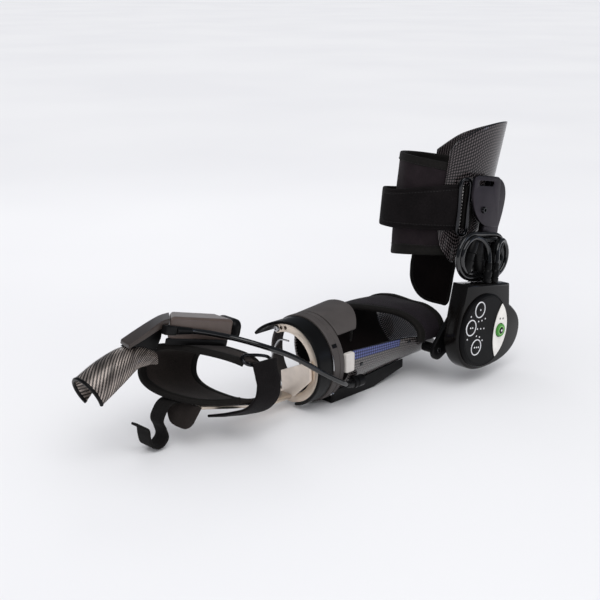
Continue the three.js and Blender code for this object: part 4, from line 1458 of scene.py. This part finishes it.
class ORTHOSIS_OT_motor(bpy.types.Operator):
    """Elbow motor housing and its round keypad"""

    bl_idname = "orthosis.motor"
    bl_label = "Elbow motor"

    def execute(self, context):
        outline = [(-0.037, 0.0465), (0.037, 0.0465), (0.0426, 0.025)]
        for part in (
            ((0.0426, 0.025), (0.056, 0.018), (0.067, 0.012), (0.067, -0.003)),
            ((0.067, -0.003), (0.067, -0.022), (0.048, -0.033), (0.028, -0.037)),
            ((0.028, -0.037), (0.018, -0.0395), (0.008, -0.0408), (0.0, -0.0408)),
            ((0.0, -0.0408), (-0.022, -0.0408), (-0.039, -0.024), (-0.039, -0.004)),
        ):
            outline += bezier(*part, 22)
        outline.append((-0.039, 0.018))
        housing = plate("motor_case", outline, upper_side(HOUSING_BACK), HOUSING_DEEP, 0.0025)
        settle(housing, "upper_arm", "gloss_black", ["motor_housing"])
        outline = [(0.006, 0.0466), (0.042, 0.0466)]
        for part in (
            ((0.042, 0.0466), (0.052, 0.030), (0.054, 0.014), (0.054, 0.002)),
            ((0.054, 0.002), (0.054, -0.020), (0.038, -0.034), (0.018, -0.034)),
            ((0.018, -0.034), (-0.004, -0.034), (-0.018, -0.018), (-0.018, 0.0)),
            ((-0.018, 0.0), (-0.018, 0.018), (-0.006, 0.032), (0.006, 0.0466)),
        ):
            outline += bezier(*part, 16)
        cover = plate("motor_back_cover", outline[:-1], upper_side(MOTOR_BACK), MOTOR_BACK_DEEP, 0.0008)
        settle(cover, "upper_arm", "satin_black", ["motor_back"])
        self.keypad()
        self.label()
        return {"FINISHED"}

    def keypad(self):
        deep = KEYPAD_BACK - KEYPAD_FACE
        rim = KEYPAD_RADIUS
        profile = [
            (0, 0), (rim, 0), (rim, 0.0022), (rim - 0.0005, 0.0032), (rim - 0.0014, deep),
            (rim - 0.0020, deep), (rim - 0.0022, deep - 0.0004), (rim - 0.0027, deep - 0.0004),
            (rim - 0.0029, deep), (0, deep),
        ]
        face = lathe("keypad_disc", profile, upper_side(KEYPAD_BACK), turns=96)
        settle(face, "upper_arm", "keypad_film", ["keypad_face"])
        for k, (x, z) in enumerate(KEYS):
            place = upper_side(KEYPAD_FACE) @ Matrix.Translation((x, z, -0.0001))
            r = KEY_RADIUS
            ring = [(r - 0.0006, 0), (r - 0.0004, 0.0005), (r + 0.0004, 0.0005), (r + 0.0006, 0)]
            settle(
                lathe(f"key_ring_{k}", ring, place, closed=True, turns=56),
                "upper_arm", "pale_ink",
            )
            pad = [(0, 0), (r - 0.0012, 0), (r - 0.0014, 0.0003), (r * 0.5, 0.0006), (0, 0.0007)]
            settle(lathe(f"key_dome_{k}", pad, place, turns=48), "upper_arm", "keypad_film")
        dots = []
        for count, (x, z) in enumerate(KEYS, 1):
            for k in range(count):
                dots.append((x + DOT_STEP * (k - (count - 1) / 2), z))
        marks = [(on_upper(x, KEYPAD_FACE - 0.0005, z), UPPER_FACING) for x, z in dots]
        grow(
            "key_marks", "domes", marks, "upper_arm", "pale_ink", "grey_plastic",
            Radius=0.0009, Height=0.0005,
        )
        lamps = list(LAMPS)
        for z, lean in LEVELS:
            lamps += [(LAMP_FIRST + LAMP_STEP * k, z + lean * k * k * 2) for k in range(3)]
        spots = [(on_upper(x, KEYPAD_FACE, z), UPPER_FACING) for x, z in lamps]
        grow(
            "keypad_lamps", "domes", spots, "upper_arm", "pale_ink", "grey_plastic",
            Radius=0.00085, Height=0.0004,
        )

    def label(self):
        outline = arc(0, 0, 0.0345, -52, 52, 40) + arc(0.062, 0, 0.0494, 146.6, 213.4, 40)
        hole = arc(*BUTTON, 0.0072, 0, 351, 39)
        label = plate("keypad_crescent", outline, upper_side(LABEL_BACK), 0.0007, 0.0002, [hole])
        settle(label, "upper_arm", "white_moulding", ["keypad_label"])
        place = upper_side(LABEL_BACK) @ Matrix.Translation((*BUTTON, 0))
        cap = [
            (0, 0), (0.0066, 0), (0.0066, 0.0021), (0.0061, 0.0026), (0.0048, 0.0027),
            (0.0045, 0.0023), (0.0037, 0.0023), (0.0034, 0.0026), (0, 0.0028),
        ]
        button = lathe("power_cap", cap, place, turns=56)
        settle(button, "upper_arm", "green_cap", ["power_button"])
        ring = [(0.0037, 0.0022), (0.0038, 0.0026), (0.0044, 0.0026), (0.0045, 0.0022)]
        bright = lathe("power_ring", ring, place, closed=True, turns=48)
        settle(bright, "upper_arm", "green_ring")
        middle = [(0, 0.0022), (0.0034, 0.0022), (0.0034, 0.0028), (0.0031, 0.0030), (0, 0.0030)]
        settle(lathe("power_middle", middle, place, turns=40), "upper_arm", "gloss_black")
        spot = [(on_upper(BUTTON[0], -0.0938, BUTTON[1]), UPPER_FACING)]
        dots = [(on_upper(x, LABEL_FACE, 0.0118), UPPER_FACING) for x in (0.0205, 0.0255)]
        grow(
            "label_marks", "domes", dots, "upper_arm", "lead_jacket", "white_trim",
            Radius=0.0011, Height=0.0003,
        )
        grow(
            "power_mark", "domes", spot, "upper_arm", "pale_ink", "green_button",
            Radius=0.0012, Height=0.0004,
        )


# Forearm

# Rows of the forearm trough: x, middle y and z, radius, angles of its near and far edge above level
TROUGH = (
    (-0.0355, 0.002, 0.045, 0.0395, 14, 28),
    (0.0, 0.002, 0.048, 0.0395, 6, 26),
    (0.040, 0.001, 0.052, 0.040, -4, 20),
    (0.068, 0.0, 0.0545, 0.041, -16, 11),
    (0.092, 0.0, 0.056, 0.042, -34, 0),
    (0.110, 0.0, 0.057, 0.0425, -96, -6),
    (0.134, 0.0, 0.0575, 0.043, -108, -34),
)
SHELL_WALL = 0.0025
RAIL_FRONT, RAIL_BACK, RAIL_HALF = -0.0476, 0.058, 0.022
RAIL_FLAT, RAIL_RISE = 0.012, 0.21
LINK_FOOT = (0.072, 0.033)
LINK_IN, LINK_THICK = -0.0522, 0.0044


def trough_point(x, a, inset=0.0):
    """A point on the trough at x, turned from +Y towards +Z."""
    y, z, r, _, _ = row_at(TROUGH, x)
    return Vector((x, y + (r - inset) * cosd(a), z + (r - inset) * sind(a)))


class ORTHOSIS_OT_trough(bpy.types.Operator):
    """Carbon forearm trough, rail, rivets, block and elbow link"""

    bl_idname = "orthosis.trough"
    bl_label = "Forearm trough"

    def execute(self, context):
        def shell(u, v, side):
            x = lerp(TROUGH[0][0], TROUGH[-1][0], u)
            _, _, _, near, far = row_at(TROUGH, x)
            return trough_point(x, lerp(180 - near, 360 + far, v), SHELL_WALL if side else 0)

        trough = ease_edges(wall("trough_laminate", shell, 44, 52), 0.0008)
        # Its finish is a brighter copy of the shell's laminate: painted reflection of the floor in the near
        # wall.
        settle(trough, "forearm", "trough_laminate", ["forearm_shell"])

        def inner(u, v, side):
            x = lerp(TROUGH[0][0] + 0.002, 0.084, u)
            _, _, _, near, far = row_at(TROUGH, x)
            inset = SHELL_WALL + (0.0012 if side else 0.0002)
            return trough_point(x, lerp(181.5 - near, 358 + far, v), inset)

        lining = wall("trough_lining", inner, 32, 40)
        settle(lining, "forearm", "lining_cloth")

        # Painted reflection: a thin blue band laid along the trough's near edge, in place of the studio's
        # reflection there.
        def reflection_band(u, v, side):
            x = lerp(TROUGH[0][0] + 0.001, 0.032, u)
            edge = 180 - row_at(TROUGH, x)[3]
            return trough_point(x, edge + lerp(0.5, lerp(14, 11, u), v), 0.0001 if side else -0.0003)

        reflection_strip = wall("trough_edge_film", reflection_band, 24, 6)
        settle(reflection_strip, "forearm", "edge_film")

        def rail(u, v, side):
            x = lerp(RAIL_FRONT, RAIL_BACK, u)
            y = lerp(-RAIL_HALF, RAIL_HALF, v)
            y0, z0, r, _, _ = row_at(TROUGH, max(x, TROUGH[0][0]))
            reach = r + 0.0004
            top = z0 - math.sqrt(reach**2 - (y - y0) ** 2)
            return Vector((x, y, max(0.0, RAIL_RISE * (x - RAIL_FLAT)) if side else top))

        runner = ease_edges(wall("rail_runner", rail, 24, 22), 0.0012, 3)
        settle(runner, "forearm", "satin_black", ["forearm_rail"])
        spots = []
        for x, a in ((-0.0223, 192), (0.0464, 193), (-0.020, 366), (0.032, 368)):
            spots.append((trough_point(x, a), Vector((0, cosd(a), sind(a)))))
        grow("trough_rivets", "domes", spots, "forearm", "dark_chrome", "steel", Radius=0.0022, Height=0.0011)
        block = plate(
            "slide_block_body",
            rounded_box(-0.0476, 0.0355, -0.036, 0.0545, 0.002),
            forearm_side(-0.0355),
            0.005,
            0.0009,
        )
        settle(block, "forearm", "block_white", ["slide_block"])
        self.link()
        return {"FINISHED"}

    def link(self):
        (x0, z0), r0 = LINK_FOOT, 0.010
        x1, z1, r1 = ELBOW.x, ELBOW.z, 0.017
        away = math.degrees(math.atan2(z1 - z0, x1 - x0))
        lean = math.degrees(math.acos((r0 - r1) / math.hypot(x1 - x0, z1 - z0)))
        outline = arc(x0, z0, r0, away + lean, away - lean + 360, 28)
        outline += arc(x1, z1, r1, away - lean, away + lean, 28)
        link = plate("elbow_link_plate", outline, forearm_side(LINK_IN), LINK_THICK, 0.0008)
        settle(link, "forearm", "satin_black", ["elbow_link"])
        profile = [(0, 0), (0.005, 0), (0.005, 0.0138), (0.0046, 0.0142), (0, 0.0142)]
        place = forearm_side(-0.0376) @ Matrix.Translation((x0, z0, 0))
        post = lathe("link_post_pin", profile, place, turns=28)
        settle(post, "forearm", "satin_black", ["link_post"])
        face = LINK_IN - LINK_THICK + 0.0016
        heads = [(Vector((x0, face, z0)), MOTOR_SIDE)]
        grow(
            "link_screw_heads", "screws", heads, "forearm", "wire_steel", "steel",
            Radius=0.0034, Height=0.0018, Socket=0.0017,
        )


# Rows of the forearm strap from its near end over the top to its far end:
# distal edge x, y, z, then proximal edge x, y, z
FOREARM_STRAP = (
    (0.053, -0.0466, 0.043, 0.086, -0.0474, 0.042),
    (0.056, -0.0450, 0.051, 0.092, -0.0460, 0.050),
    (0.058, -0.0350, 0.060, 0.098, -0.0370, 0.058),
    (0.056, -0.0140, 0.067, 0.102, -0.0160, 0.065),
    (0.044, 0.0080, 0.070, 0.101, 0.0060, 0.066),
    (0.022, 0.0300, 0.072, 0.095, 0.0310, 0.068),
    (0.004, 0.0430, 0.068, 0.086, 0.0455, 0.064),
    (-0.006, 0.0476, 0.052, 0.079, 0.0484, 0.047),
    (-0.008, 0.0470, 0.038, 0.074, 0.0476, 0.035),
)
FOREARM_STRAP_THICK = 0.004


class ORTHOSIS_OT_forearm_strap(bpy.types.Operator):
    """Padded strap over the trough with bound edges"""

    bl_idname = "orthosis.forearm_strap"
    bl_label = "Forearm strap"

    def execute(self, context):
        steps = 64
        distal = spline([row[:3] for row in FOREARM_STRAP], steps + 1)
        proximal = spline([row[3:] for row in FOREARM_STRAP], steps + 1)

        def shape(u, v, side):
            k = round(v * steps)
            point = distal[k].lerp(proximal[k], u)
            inward = Vector((0, -point.y, 0.046 - point.z)).normalized()
            puff = 0.0016 * math.sin(math.pi * u) * math.sin(math.pi * min(1, max(0, v))) ** 0.5
            fold = 0.0007 * noise.noise(point * 42) * math.sin(math.pi * v)
            return point + inward * ((FOREARM_STRAP_THICK if side else 0) - (0 if side else puff + fold))

        strap = soften(wall("forearm_strap_pad", shape, 18, steps))
        settle(strap, "forearm", "strap_cloth", ["forearm_strap"])
        for name, u, way in (("distal", 0.0, 1), ("proximal", 1.0, -1)):
            path, sides, seam = [], [], []
            for k in range(steps + 1):
                v = k / steps
                outer, inner = shape(u, v, 0), shape(u, v, 1)
                across = (proximal[k] - distal[k]).normalized() * way
                path.append(outer.lerp(inner, 0.5) + across * 0.0030)
                sides.append(across)
                out = (outer - inner).normalized()
                seam.append((outer + across * 0.0062 + out * 0.0010, out))
            tape = sweep(f"forearm_strap_binding_{name}", path, tape_section(0.0042, 0.0028), sides)
            settle(tape, "forearm", "binding_tape")
            plain_seam(f"forearm_strap_seam_{name}", seam, "forearm", "neoprene")
        return {"FINISHED"}


# Wrist

COLLAR_FRONT, COLLAR_BACK = -0.062, -0.048
COLLAR_OUTER, COLLAR_INNER = 0.043, 0.0404
COVER_FROM, COVER_TO, COVER_CUT_FROM = 55, 140, 95
COVER_BACK, COVER_CUT = -0.008, 0.017
RING_FRONT, RING_THICK = -0.080, 0.005
RING_OUTER, RING_INNER = 0.0384, 0.030
RING_FROM, RING_TO = 63, 292
VISOR_FROM, VISOR_TO = 38, 258


def about_wrist(x, a, r):
    """A point round the wrist axis, turned from +Y towards +Z."""
    return Vector((x, WRIST.y + r * cosd(a), WRIST.z + r * sind(a)))


class ORTHOSIS_OT_wrist(bpy.types.Operator):
    """Wrist collar, visor, open alloy ring and slanted plate"""

    bl_idname = "orthosis.wrist"
    bl_label = "Wrist"

    def execute(self, context):
        self.collar()
        self.visor()
        self.ring()
        return {"FINISHED"}

    def collar(self):
        r0, r1 = COLLAR_INNER, COLLAR_OUTER
        long = COLLAR_BACK - COLLAR_FRONT
        profile = [
            (r0, 0.0006), (r0 + 0.0006, 0), (r1 - 0.0006, 0), (r1, 0.0008), (r1, 0.0062),
            (r1 - 0.0006, 0.0068), (r1 - 0.0006, 0.0078), (r1, 0.0084), (r1, long - 0.0010),
            (r1 - 0.0008, long), (r0 + 0.0005, long), (r0, long - 0.0005),
        ]
        place = across_arm(COLLAR_FRONT, WRIST.y, WRIST.z)
        collar = lathe("collar_ring", profile, place, closed=True, turns=128)
        settle(collar, "forearm", "collar_grey", ["wrist_collar"])
        spots = []
        for x, a in ((-0.0515, 226), (-0.0515, 300), (-0.0515, 40)):
            spots.append((about_wrist(x, a, r1 - 0.0003), Vector((0, cosd(a), sind(a)))))
        grow(
            "collar_screw_heads", "screws", spots, "forearm", "wire_steel", "steel",
            Radius=0.0024, Height=0.0013, Socket=0.0012,
        )

        def cover(u, v, side):
            a = lerp(COVER_FROM, COVER_TO, v)
            cut = max(0, (a - COVER_CUT_FROM) / (COVER_TO - COVER_CUT_FROM))
            back = COVER_BACK - COVER_CUT * cut**2
            r = COLLAR_OUTER + 0.0002 + 0.003 * u - (0.0024 if side else 0)
            return about_wrist(lerp(COLLAR_BACK + 0.0004, back, u), a, r)

        top = ease_edges(wall("collar_top_cover", cover, 20, 40), 0.0006)
        settle(top, "forearm", "collar_grey", ["collar_cover"])

        # Painted shade: a thin dark patch on the collar in place of a slot, standing for the shade in its
        # hollow.
        def slot(u, v, side):
            reach = r1 + (-0.0002 if side else 0.0002)
            return about_wrist(lerp(-0.0604, -0.0545, u), lerp(149, 154, v), reach)

        settle(wall("collar_slot", slot, 4, 6), "forearm", "satin_black")

        def lining(u, v, side):
            return about_wrist(lerp(-0.061, -0.040, u), lerp(30, 118, v), 0.0398 if side else 0.0345)

        pad = soften(wall("collar_lining", lining, 6, 28))
        settle(pad, "forearm", "cover_cloth")
        wire = [about_wrist(COLLAR_FRONT - 0.0003, a, r1 - 0.0006) for a in range(162, 184, 2)]
        settle(sweep("collar_wire", wire, disc(0.0006, 8)), "forearm", "wire_steel")

    def visor(self):
        def shape(u, v, side):
            a = lerp(VISOR_FROM, VISOR_TO, u)
            front = -0.0805 - 0.013 * bump(a, VISOR_FROM, 42)
            return about_wrist(lerp(front, -0.0624, v), a, 0.0388 if side else 0.0416)

        visor = ease_edges(wall("visor_band", shape, 96, 8), 0.0007)
        settle(visor, "hand", "satin_black", ["wrist_visor"])

    def ring(self):
        middle, end = (RING_OUTER + RING_INNER) / 2, (RING_OUTER - RING_INNER) / 2

        def at(a):
            return WRIST.y + middle * cosd(a), WRIST.z + middle * sind(a)

        outline = arc(WRIST.y, WRIST.z, RING_OUTER, RING_FROM, RING_TO, 84)
        outline += arc(*at(RING_TO), end, RING_TO, RING_TO + 180, 16)
        outline += arc(WRIST.y, WRIST.z, RING_INNER, RING_TO, RING_FROM, 84)
        outline += arc(*at(RING_FROM), end, RING_FROM + 180, RING_FROM + 360, 16)
        drilled = (RING_FROM + 10, RING_FROM + 20, RING_TO, RING_TO - 11)
        holes = [arc(*at(a), 0.0017, 0, 340, 17) for a in drilled]
        place = across_arm(RING_FRONT)
        ring = plate("alloy_ring", outline, place, RING_THICK, 0.0005, holes)
        settle(ring, "hand", "champagne_alloy", ["wrist_ring"])
        head = [(Vector((RING_FRONT, *at(RING_FROM))), -FORWARD)]
        grow(
            "ring_screw_head", "screws", head, "hand", "wire_steel", "steel",
            Radius=0.0034, Height=0.0014, Socket=0.0015,
        )
        bends = ((0.0325, 0.040), (0.0299, 0.047), (0.0215, 0.0605), (0.009, 0.0625))
        loop = [Vector((-0.0745, y, z)) for y, z in bends]
        settle(sweep("ring_wire", spline(loop, 32), disc(0.0009, 10)), "hand", "wire_steel")
        shape = [(0.011, 0.035), (-0.027, 0.053), (-0.028, 0.034), (-0.006, 0.013), (0.009, 0.008)]
        slanted = plate("slanted_plate", shape, across_arm(-0.0834), 0.003, 0.0006)
        settle(slanted, "hand", "plate_alloy", ["wrist_plate"])


# Hand

# Rows of the hand loop's edges: angle round the palm, front and back p
PAD_EDGE = (
    (-140, 0.090, 0.060),
    (-90, 0.128, 0.070),
    (-45, 0.142, 0.078),
    (0, 0.143, 0.080),
    (45, 0.138, 0.080),
    (90, 0.124, 0.078),
    (152, 0.098, 0.078),
)
PAD_WALL = 0.005
PAD_Y, PAD_HALF_Y = 0.002, 0.043
PAD_N, PAD_HALF_N = -0.012, 0.024
PAD_LIFT, PAD_LIFT_FROM = 0.008, 60
PAD_POWER = 0.8
# Knots in the hand's frame: p, y and n
PALM_BAR = (
    (-0.0024, 0, -0.0315),
    (0.012, 0, -0.035),
    (0.030, -0.001, -0.0380),
    (0.066, -0.002, -0.0388),
    (0.098, -0.002, -0.0388),
    (0.112, -0.002, -0.0388),
)


def pad_point(u, v, inset=0.0):
    """A point on the hand loop: u from its front to its back edge, v from its outer top end round below."""
    first, last = PAD_EDGE[-1][0], PAD_EDGE[0][0]
    a = lerp(first, last, v)
    front, back = row_at(PAD_EDGE, a)
    y = PAD_Y + (PAD_HALF_Y - inset) * squarer(cosd(a), PAD_POWER)
    lift = PAD_LIFT * max(0.0, (a - PAD_LIFT_FROM) / (first - PAD_LIFT_FROM)) ** 2
    n = PAD_N + lift + (PAD_HALF_N - inset) * squarer(sind(a), PAD_POWER)
    return on_hand(lerp(front, back, u), y, n)


class ORTHOSIS_OT_hand_loop(bpy.types.Operator):
    """Padded loop round the palm with bound edges, and the bar below it"""

    bl_idname = "orthosis.hand_loop"
    bl_label = "Hand loop"

    def execute(self, context):
        steps = 96

        def shape(u, v, side):
            puff = 0.0010 * math.sin(math.pi * u)
            return pad_point(u, v, PAD_WALL - puff if side else -puff * 0.3)

        pad = soften(wall("palm_pad_cover", shape, 16, steps))
        settle(pad, "hand", "pad_cloth", ["palm_pad"])
        section = tape_section(0.0040, PAD_WALL / 2 + 0.0004)
        for name, u, way in (("front", 0.0, 1), ("back", 1.0, -1)):
            inward = ALONG_HAND * 0.0028 * way
            path = [pad_point(u, k / steps, PAD_WALL / 2) - inward for k in range(steps + 1)]
            tape = sweep(f"palm_pad_binding_{name}", path, section, [ALONG_HAND] * (steps + 1))
            settle(tape, "hand", "binding_tape")
        teeth = []
        for k in range(24):
            v = lerp(0.87, 0.80, k / 23)
            point = pad_point(0.06 + 0.004 * k, v, -0.0004)
            teeth.append((point, (point - pad_point(0.06 + 0.004 * k, v, 0.004)).normalized()))
        grow(
            "palm_pad_zigzag", "stitches", teeth, "hand", "pale_thread", "neoprene", True,
            Pitch=0.0018, Length=0.0030, Thread=0.0004, Slant=math.radians(62),
        )
        bar_path = spline([on_hand(*p) for p in PALM_BAR], 48)
        bar = sweep("palm_bar_strip", bar_path, strip(0.016, 0.0046), [ACROSS_HAND] * 48)
        settle(bar, "hand", "champagne_alloy", ["palm_bar"])
        return {"FINISHED"}


# Knots in the hand's frame: p, y and n, but p and n for the thumb strap, which lies at one y
HAND_STRAP = (
    (0.080, -0.0448, 0.0125),
    (0.079, -0.0451, 0.008),
    (0.077, -0.047, 0.001),
    (0.074, -0.0485, -0.007),
    (0.071, -0.0465, -0.020),
    (0.071, -0.038, -0.032),
    (0.073, -0.018, -0.0425),
    (0.078, 0.004, -0.051),
)
THUMB_Y = 0.013
THUMB_STRAP = (
    (0.1235, -0.0376), (0.129, -0.0378), (0.1345, -0.041), (0.138, -0.048), (0.139, -0.055), (0.134, -0.062),
    (0.130, -0.070), (0.135, -0.0775), (0.145, -0.077), (0.150, -0.069), (0.153, -0.062), (0.159, -0.060),
)
HAND_RING = (
    (0.065, -0.036, 0.0121), (0.068, -0.034, 0.0136), (0.096, -0.034, 0.0136), (0.099, -0.036, 0.0121),
    (0.099, -0.0395, 0.0094), (0.096, -0.0415, 0.0079), (0.068, -0.0415, 0.0079), (0.065, -0.0395, 0.0094),
)


class ORTHOSIS_OT_hand_straps(bpy.types.Operator):
    """Strap and ring at the hand loop's open side, tongue and thumb strap"""

    bl_idname = "orthosis.hand_straps"
    bl_label = "Hand straps"

    def execute(self, context):
        path = spline([on_hand(*p) for p in HAND_STRAP], 64)
        band = sweep("hand_strap_band", path, strip(0.028, 0.0024), [ALONG_HAND] * 64)
        settle(band, "hand", "loop_pile", ["hand_strap"])
        ring = spline([on_hand(*p) for p in HAND_RING], 64, closed=True)
        wire = sweep("hand_strap_wire", ring, disc(0.0015, 12), closed=True)
        settle(wire, "hand", "dark_chrome", ["hand_strap_ring"])

        def tongue(u, v, side):
            n = lerp(-0.0364, -0.059 + 0.010 * (2 * v - 1) ** 4, u)
            return on_hand(0.116 + 0.006 * u + (0 if side else 0.003), lerp(-0.017, 0.019, v), n)

        flap = soften(wall("pad_tongue_cloth", tongue, 12, 14))
        settle(flap, "hand", "pad_cloth", ["pad_tongue"])
        thumb = spline([on_hand(p, THUMB_Y, n) for p, n in THUMB_STRAP], 96)
        loop = sweep("thumb_strap_band", thumb, strip(0.018, 0.0022), [ACROSS_HAND] * 96)
        settle(loop, "hand", "strap_webbing", ["thumb_strap"])
        return {"FINISHED"}


BOX_NEAR, BOX_FAR = 0.006, 0.034
BOX_LOW, BOX_HIGH = 0.0175, 0.037


class ORTHOSIS_OT_hand_motor(bpy.types.Operator):
    """Finger motor box on the back of the hand and its end cap"""

    bl_idname = "orthosis.hand_motor"
    bl_label = "Hand motor"

    def execute(self, context):
        def case(u, v, side):
            p = lerp(0.075, lerp(0.1494, 0.1274, v), u)
            return on_hand(p, lerp(BOX_NEAR, BOX_FAR, v), BOX_LOW if side else BOX_HIGH)

        box = ease_edges(wall("motor_box_case", case, 12, 8), 0.0032, 4)
        settle(box, "hand", "box_shell", ["hand_motor_box"])
        outline = rounded_box(-BOX_FAR, BOX_LOW, -BOX_NEAR, BOX_HIGH, 0.007, 8)
        place = axes(-ACROSS_HAND, OUT_OF_HAND, ALONG_HAND, on_hand(0.0626, 0, 0))
        cap = plate("motor_box_cap", outline, place, 0.012, 0.005)
        settle(cap, "hand", "satin_black", ["box_end_cap"])

        def saddle(u, v, side):
            p = lerp(0.078, lerp(0.1505, 0.1255, min(1, 1.6 * v)), u)
            return on_hand(p, lerp(BOX_NEAR + 0.001, BOX_FAR - 0.001, v), 0.0125 if side else BOX_LOW + 0.001)

        seat = ease_edges(wall("motor_box_saddle", saddle, 12, 8), 0.001)
        settle(seat, "hand", "satin_black")
        return {"FINISHED"}


# Rows of the finger trough: ridge p and n, radius, angles of its near and far edge
RIDGE = (
    (0.151, 0.005, 0.013, 76, 80),
    (0.166, 0.008, 0.014, 90, 85),
    (0.183, 0.0062, 0.0155, 94, 95),
    (0.204, -0.0055, 0.0165, 112, 118),
    (0.222, -0.0205, 0.0175, 110, 138),
)
# Rows of the lever: share of its length, near p and n, far p and n, half width, thickness
LEVER = (
    (0, 0.1502, 0.0355, 0.1282, 0.036, 0.0142, 0.006),
    (0.2, 0.158, 0.033, 0.140, 0.0325, 0.014, 0.007),
    (0.6, 0.171, 0.0215, 0.1605, 0.0225, 0.0115, 0.0055),
    (1, 0.184, 0.0107, 0.180, 0.0117, 0.009, 0.004),
)
FINGER_Y = 0.020
FINGER_WALL = 0.002


class ORTHOSIS_OT_finger(bpy.types.Operator):
    """Sloping finger lever and the hollow finger trough"""

    bl_idname = "orthosis.finger"
    bl_label = "Finger"

    def execute(self, context):
        def slope(u, v, side):
            near_p, near_n, far_p, far_n, half, thick = row_at(LEVER, u)
            n = lerp(near_n, far_n, v) - (thick if side else 0)
            return on_hand(lerp(near_p, far_p, v), FINGER_Y + half * (2 * v - 1), n)

        lever = ease_edges(wall("finger_lever_plate", slope, 24, 10), 0.0009, 3)
        # Its finish is the box's moulding darkened: painted shade for the lever's shaded faces.
        settle(lever, "finger", "lever_shell", ["finger_lever"])
        rows = [(k / (len(RIDGE) - 1), *row) for k, row in enumerate(RIDGE)]

        def shape(u, v, side):
            p, n, r, near, far = row_at(rows, u)
            ahead, behind = row_at(rows, min(1, u + 0.01)), row_at(rows, max(0, u - 0.01))
            slope = Vector((ahead[0] - behind[0], ahead[1] - behind[1])).normalized()
            a = lerp(-near, far, v)
            reach = r - (FINGER_WALL if side else 0)
            out = reach * cosd(a) - r
            return on_hand(p - slope.y * out, FINGER_Y + reach * sind(a), n + slope.x * out)

        trough = ease_edges(wall("finger_trough", shape, 44, 36), 0.0006)
        settle(trough, "finger", "finger_twill", ["finger_shell"])
        rim = [shape(1, k / 36, 0).lerp(shape(1, k / 36, 1), 0.5) for k in range(37)]
        settle(sweep("finger_rim", rim, disc(0.0016, 12)), "finger", "satin_black")
        # Painted shade: a dark plate that fills the gap under the lever, where shade falls between the lever,
        # the box and the finger trough.
        shade_outline = [
            (0.1465, 0.0262), (0.1465, 0.016), (0.150, 0.0045),
            (0.166, 0.0076), (0.181, 0.0064), (0.166, 0.0158),
        ]
        place = axes(ALONG_HAND, OUT_OF_HAND, ACROSS_HAND, on_hand(0, FINGER_Y - 0.003, 0))
        settle(plate("finger_web", shade_outline, place, 0.010, 0.0006), "finger", "satin_black")
        return {"FINISHED"}


STEPS = (
    ORTHOSIS_OT_stage,
    ORTHOSIS_OT_hand_cable,
    ORTHOSIS_OT_service_cable,
    ORTHOSIS_OT_sensor_leads,
    ORTHOSIS_OT_cuff,
    ORTHOSIS_OT_upper_shell,
    ORTHOSIS_OT_upper_strap,
    ORTHOSIS_OT_bracket,
    ORTHOSIS_OT_motor,
    ORTHOSIS_OT_trough,
    ORTHOSIS_OT_forearm_strap,
    ORTHOSIS_OT_wrist,
    ORTHOSIS_OT_hand_loop,
    ORTHOSIS_OT_hand_straps,
    ORTHOSIS_OT_hand_motor,
    ORTHOSIS_OT_finger,
)


class ORTHOSIS_PT_panel(bpy.types.Panel):
    """Lists the steps, sizes and colours"""

    bl_idname = "ORTHOSIS_PT_panel"
    bl_label = "Orthosis"
    bl_space_type = "VIEW_3D"
    bl_region_type = "UI"
    bl_category = "Orthosis"

    def draw(self, context):
        for step in STEPS:
            self.layout.operator(step.bl_idname)
        for group in (context.scene.orthosis_sizes, context.scene.orthosis_colours):
            for name in group.__annotations__:
                self.layout.prop(group, name)


CLASSES = (OrthosisSizes, OrthosisColours, *STEPS, ORTHOSIS_PT_panel)


def register():
    for kind in CLASSES:
        bpy.utils.register_class(kind)
    bpy.types.Scene.orthosis_sizes = PointerProperty(type=OrthosisSizes)
    bpy.types.Scene.orthosis_colours = PointerProperty(type=OrthosisColours)


def unregister():
    del bpy.types.Scene.orthosis_colours
    del bpy.types.Scene.orthosis_sizes
    for kind in reversed(CLASSES):
        bpy.utils.unregister_class(kind)


def main():
    """Clears the start-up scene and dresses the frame."""
    register()
    for name in ("Cube", "Light", "Camera"):
        if name in bpy.data.objects:
            bpy.data.objects.remove(bpy.data.objects[name])
    for step in STEPS:
        getattr(bpy.ops.orthosis, step.bl_idname.split(".")[1])()


if __name__ == "__main__":
    main()
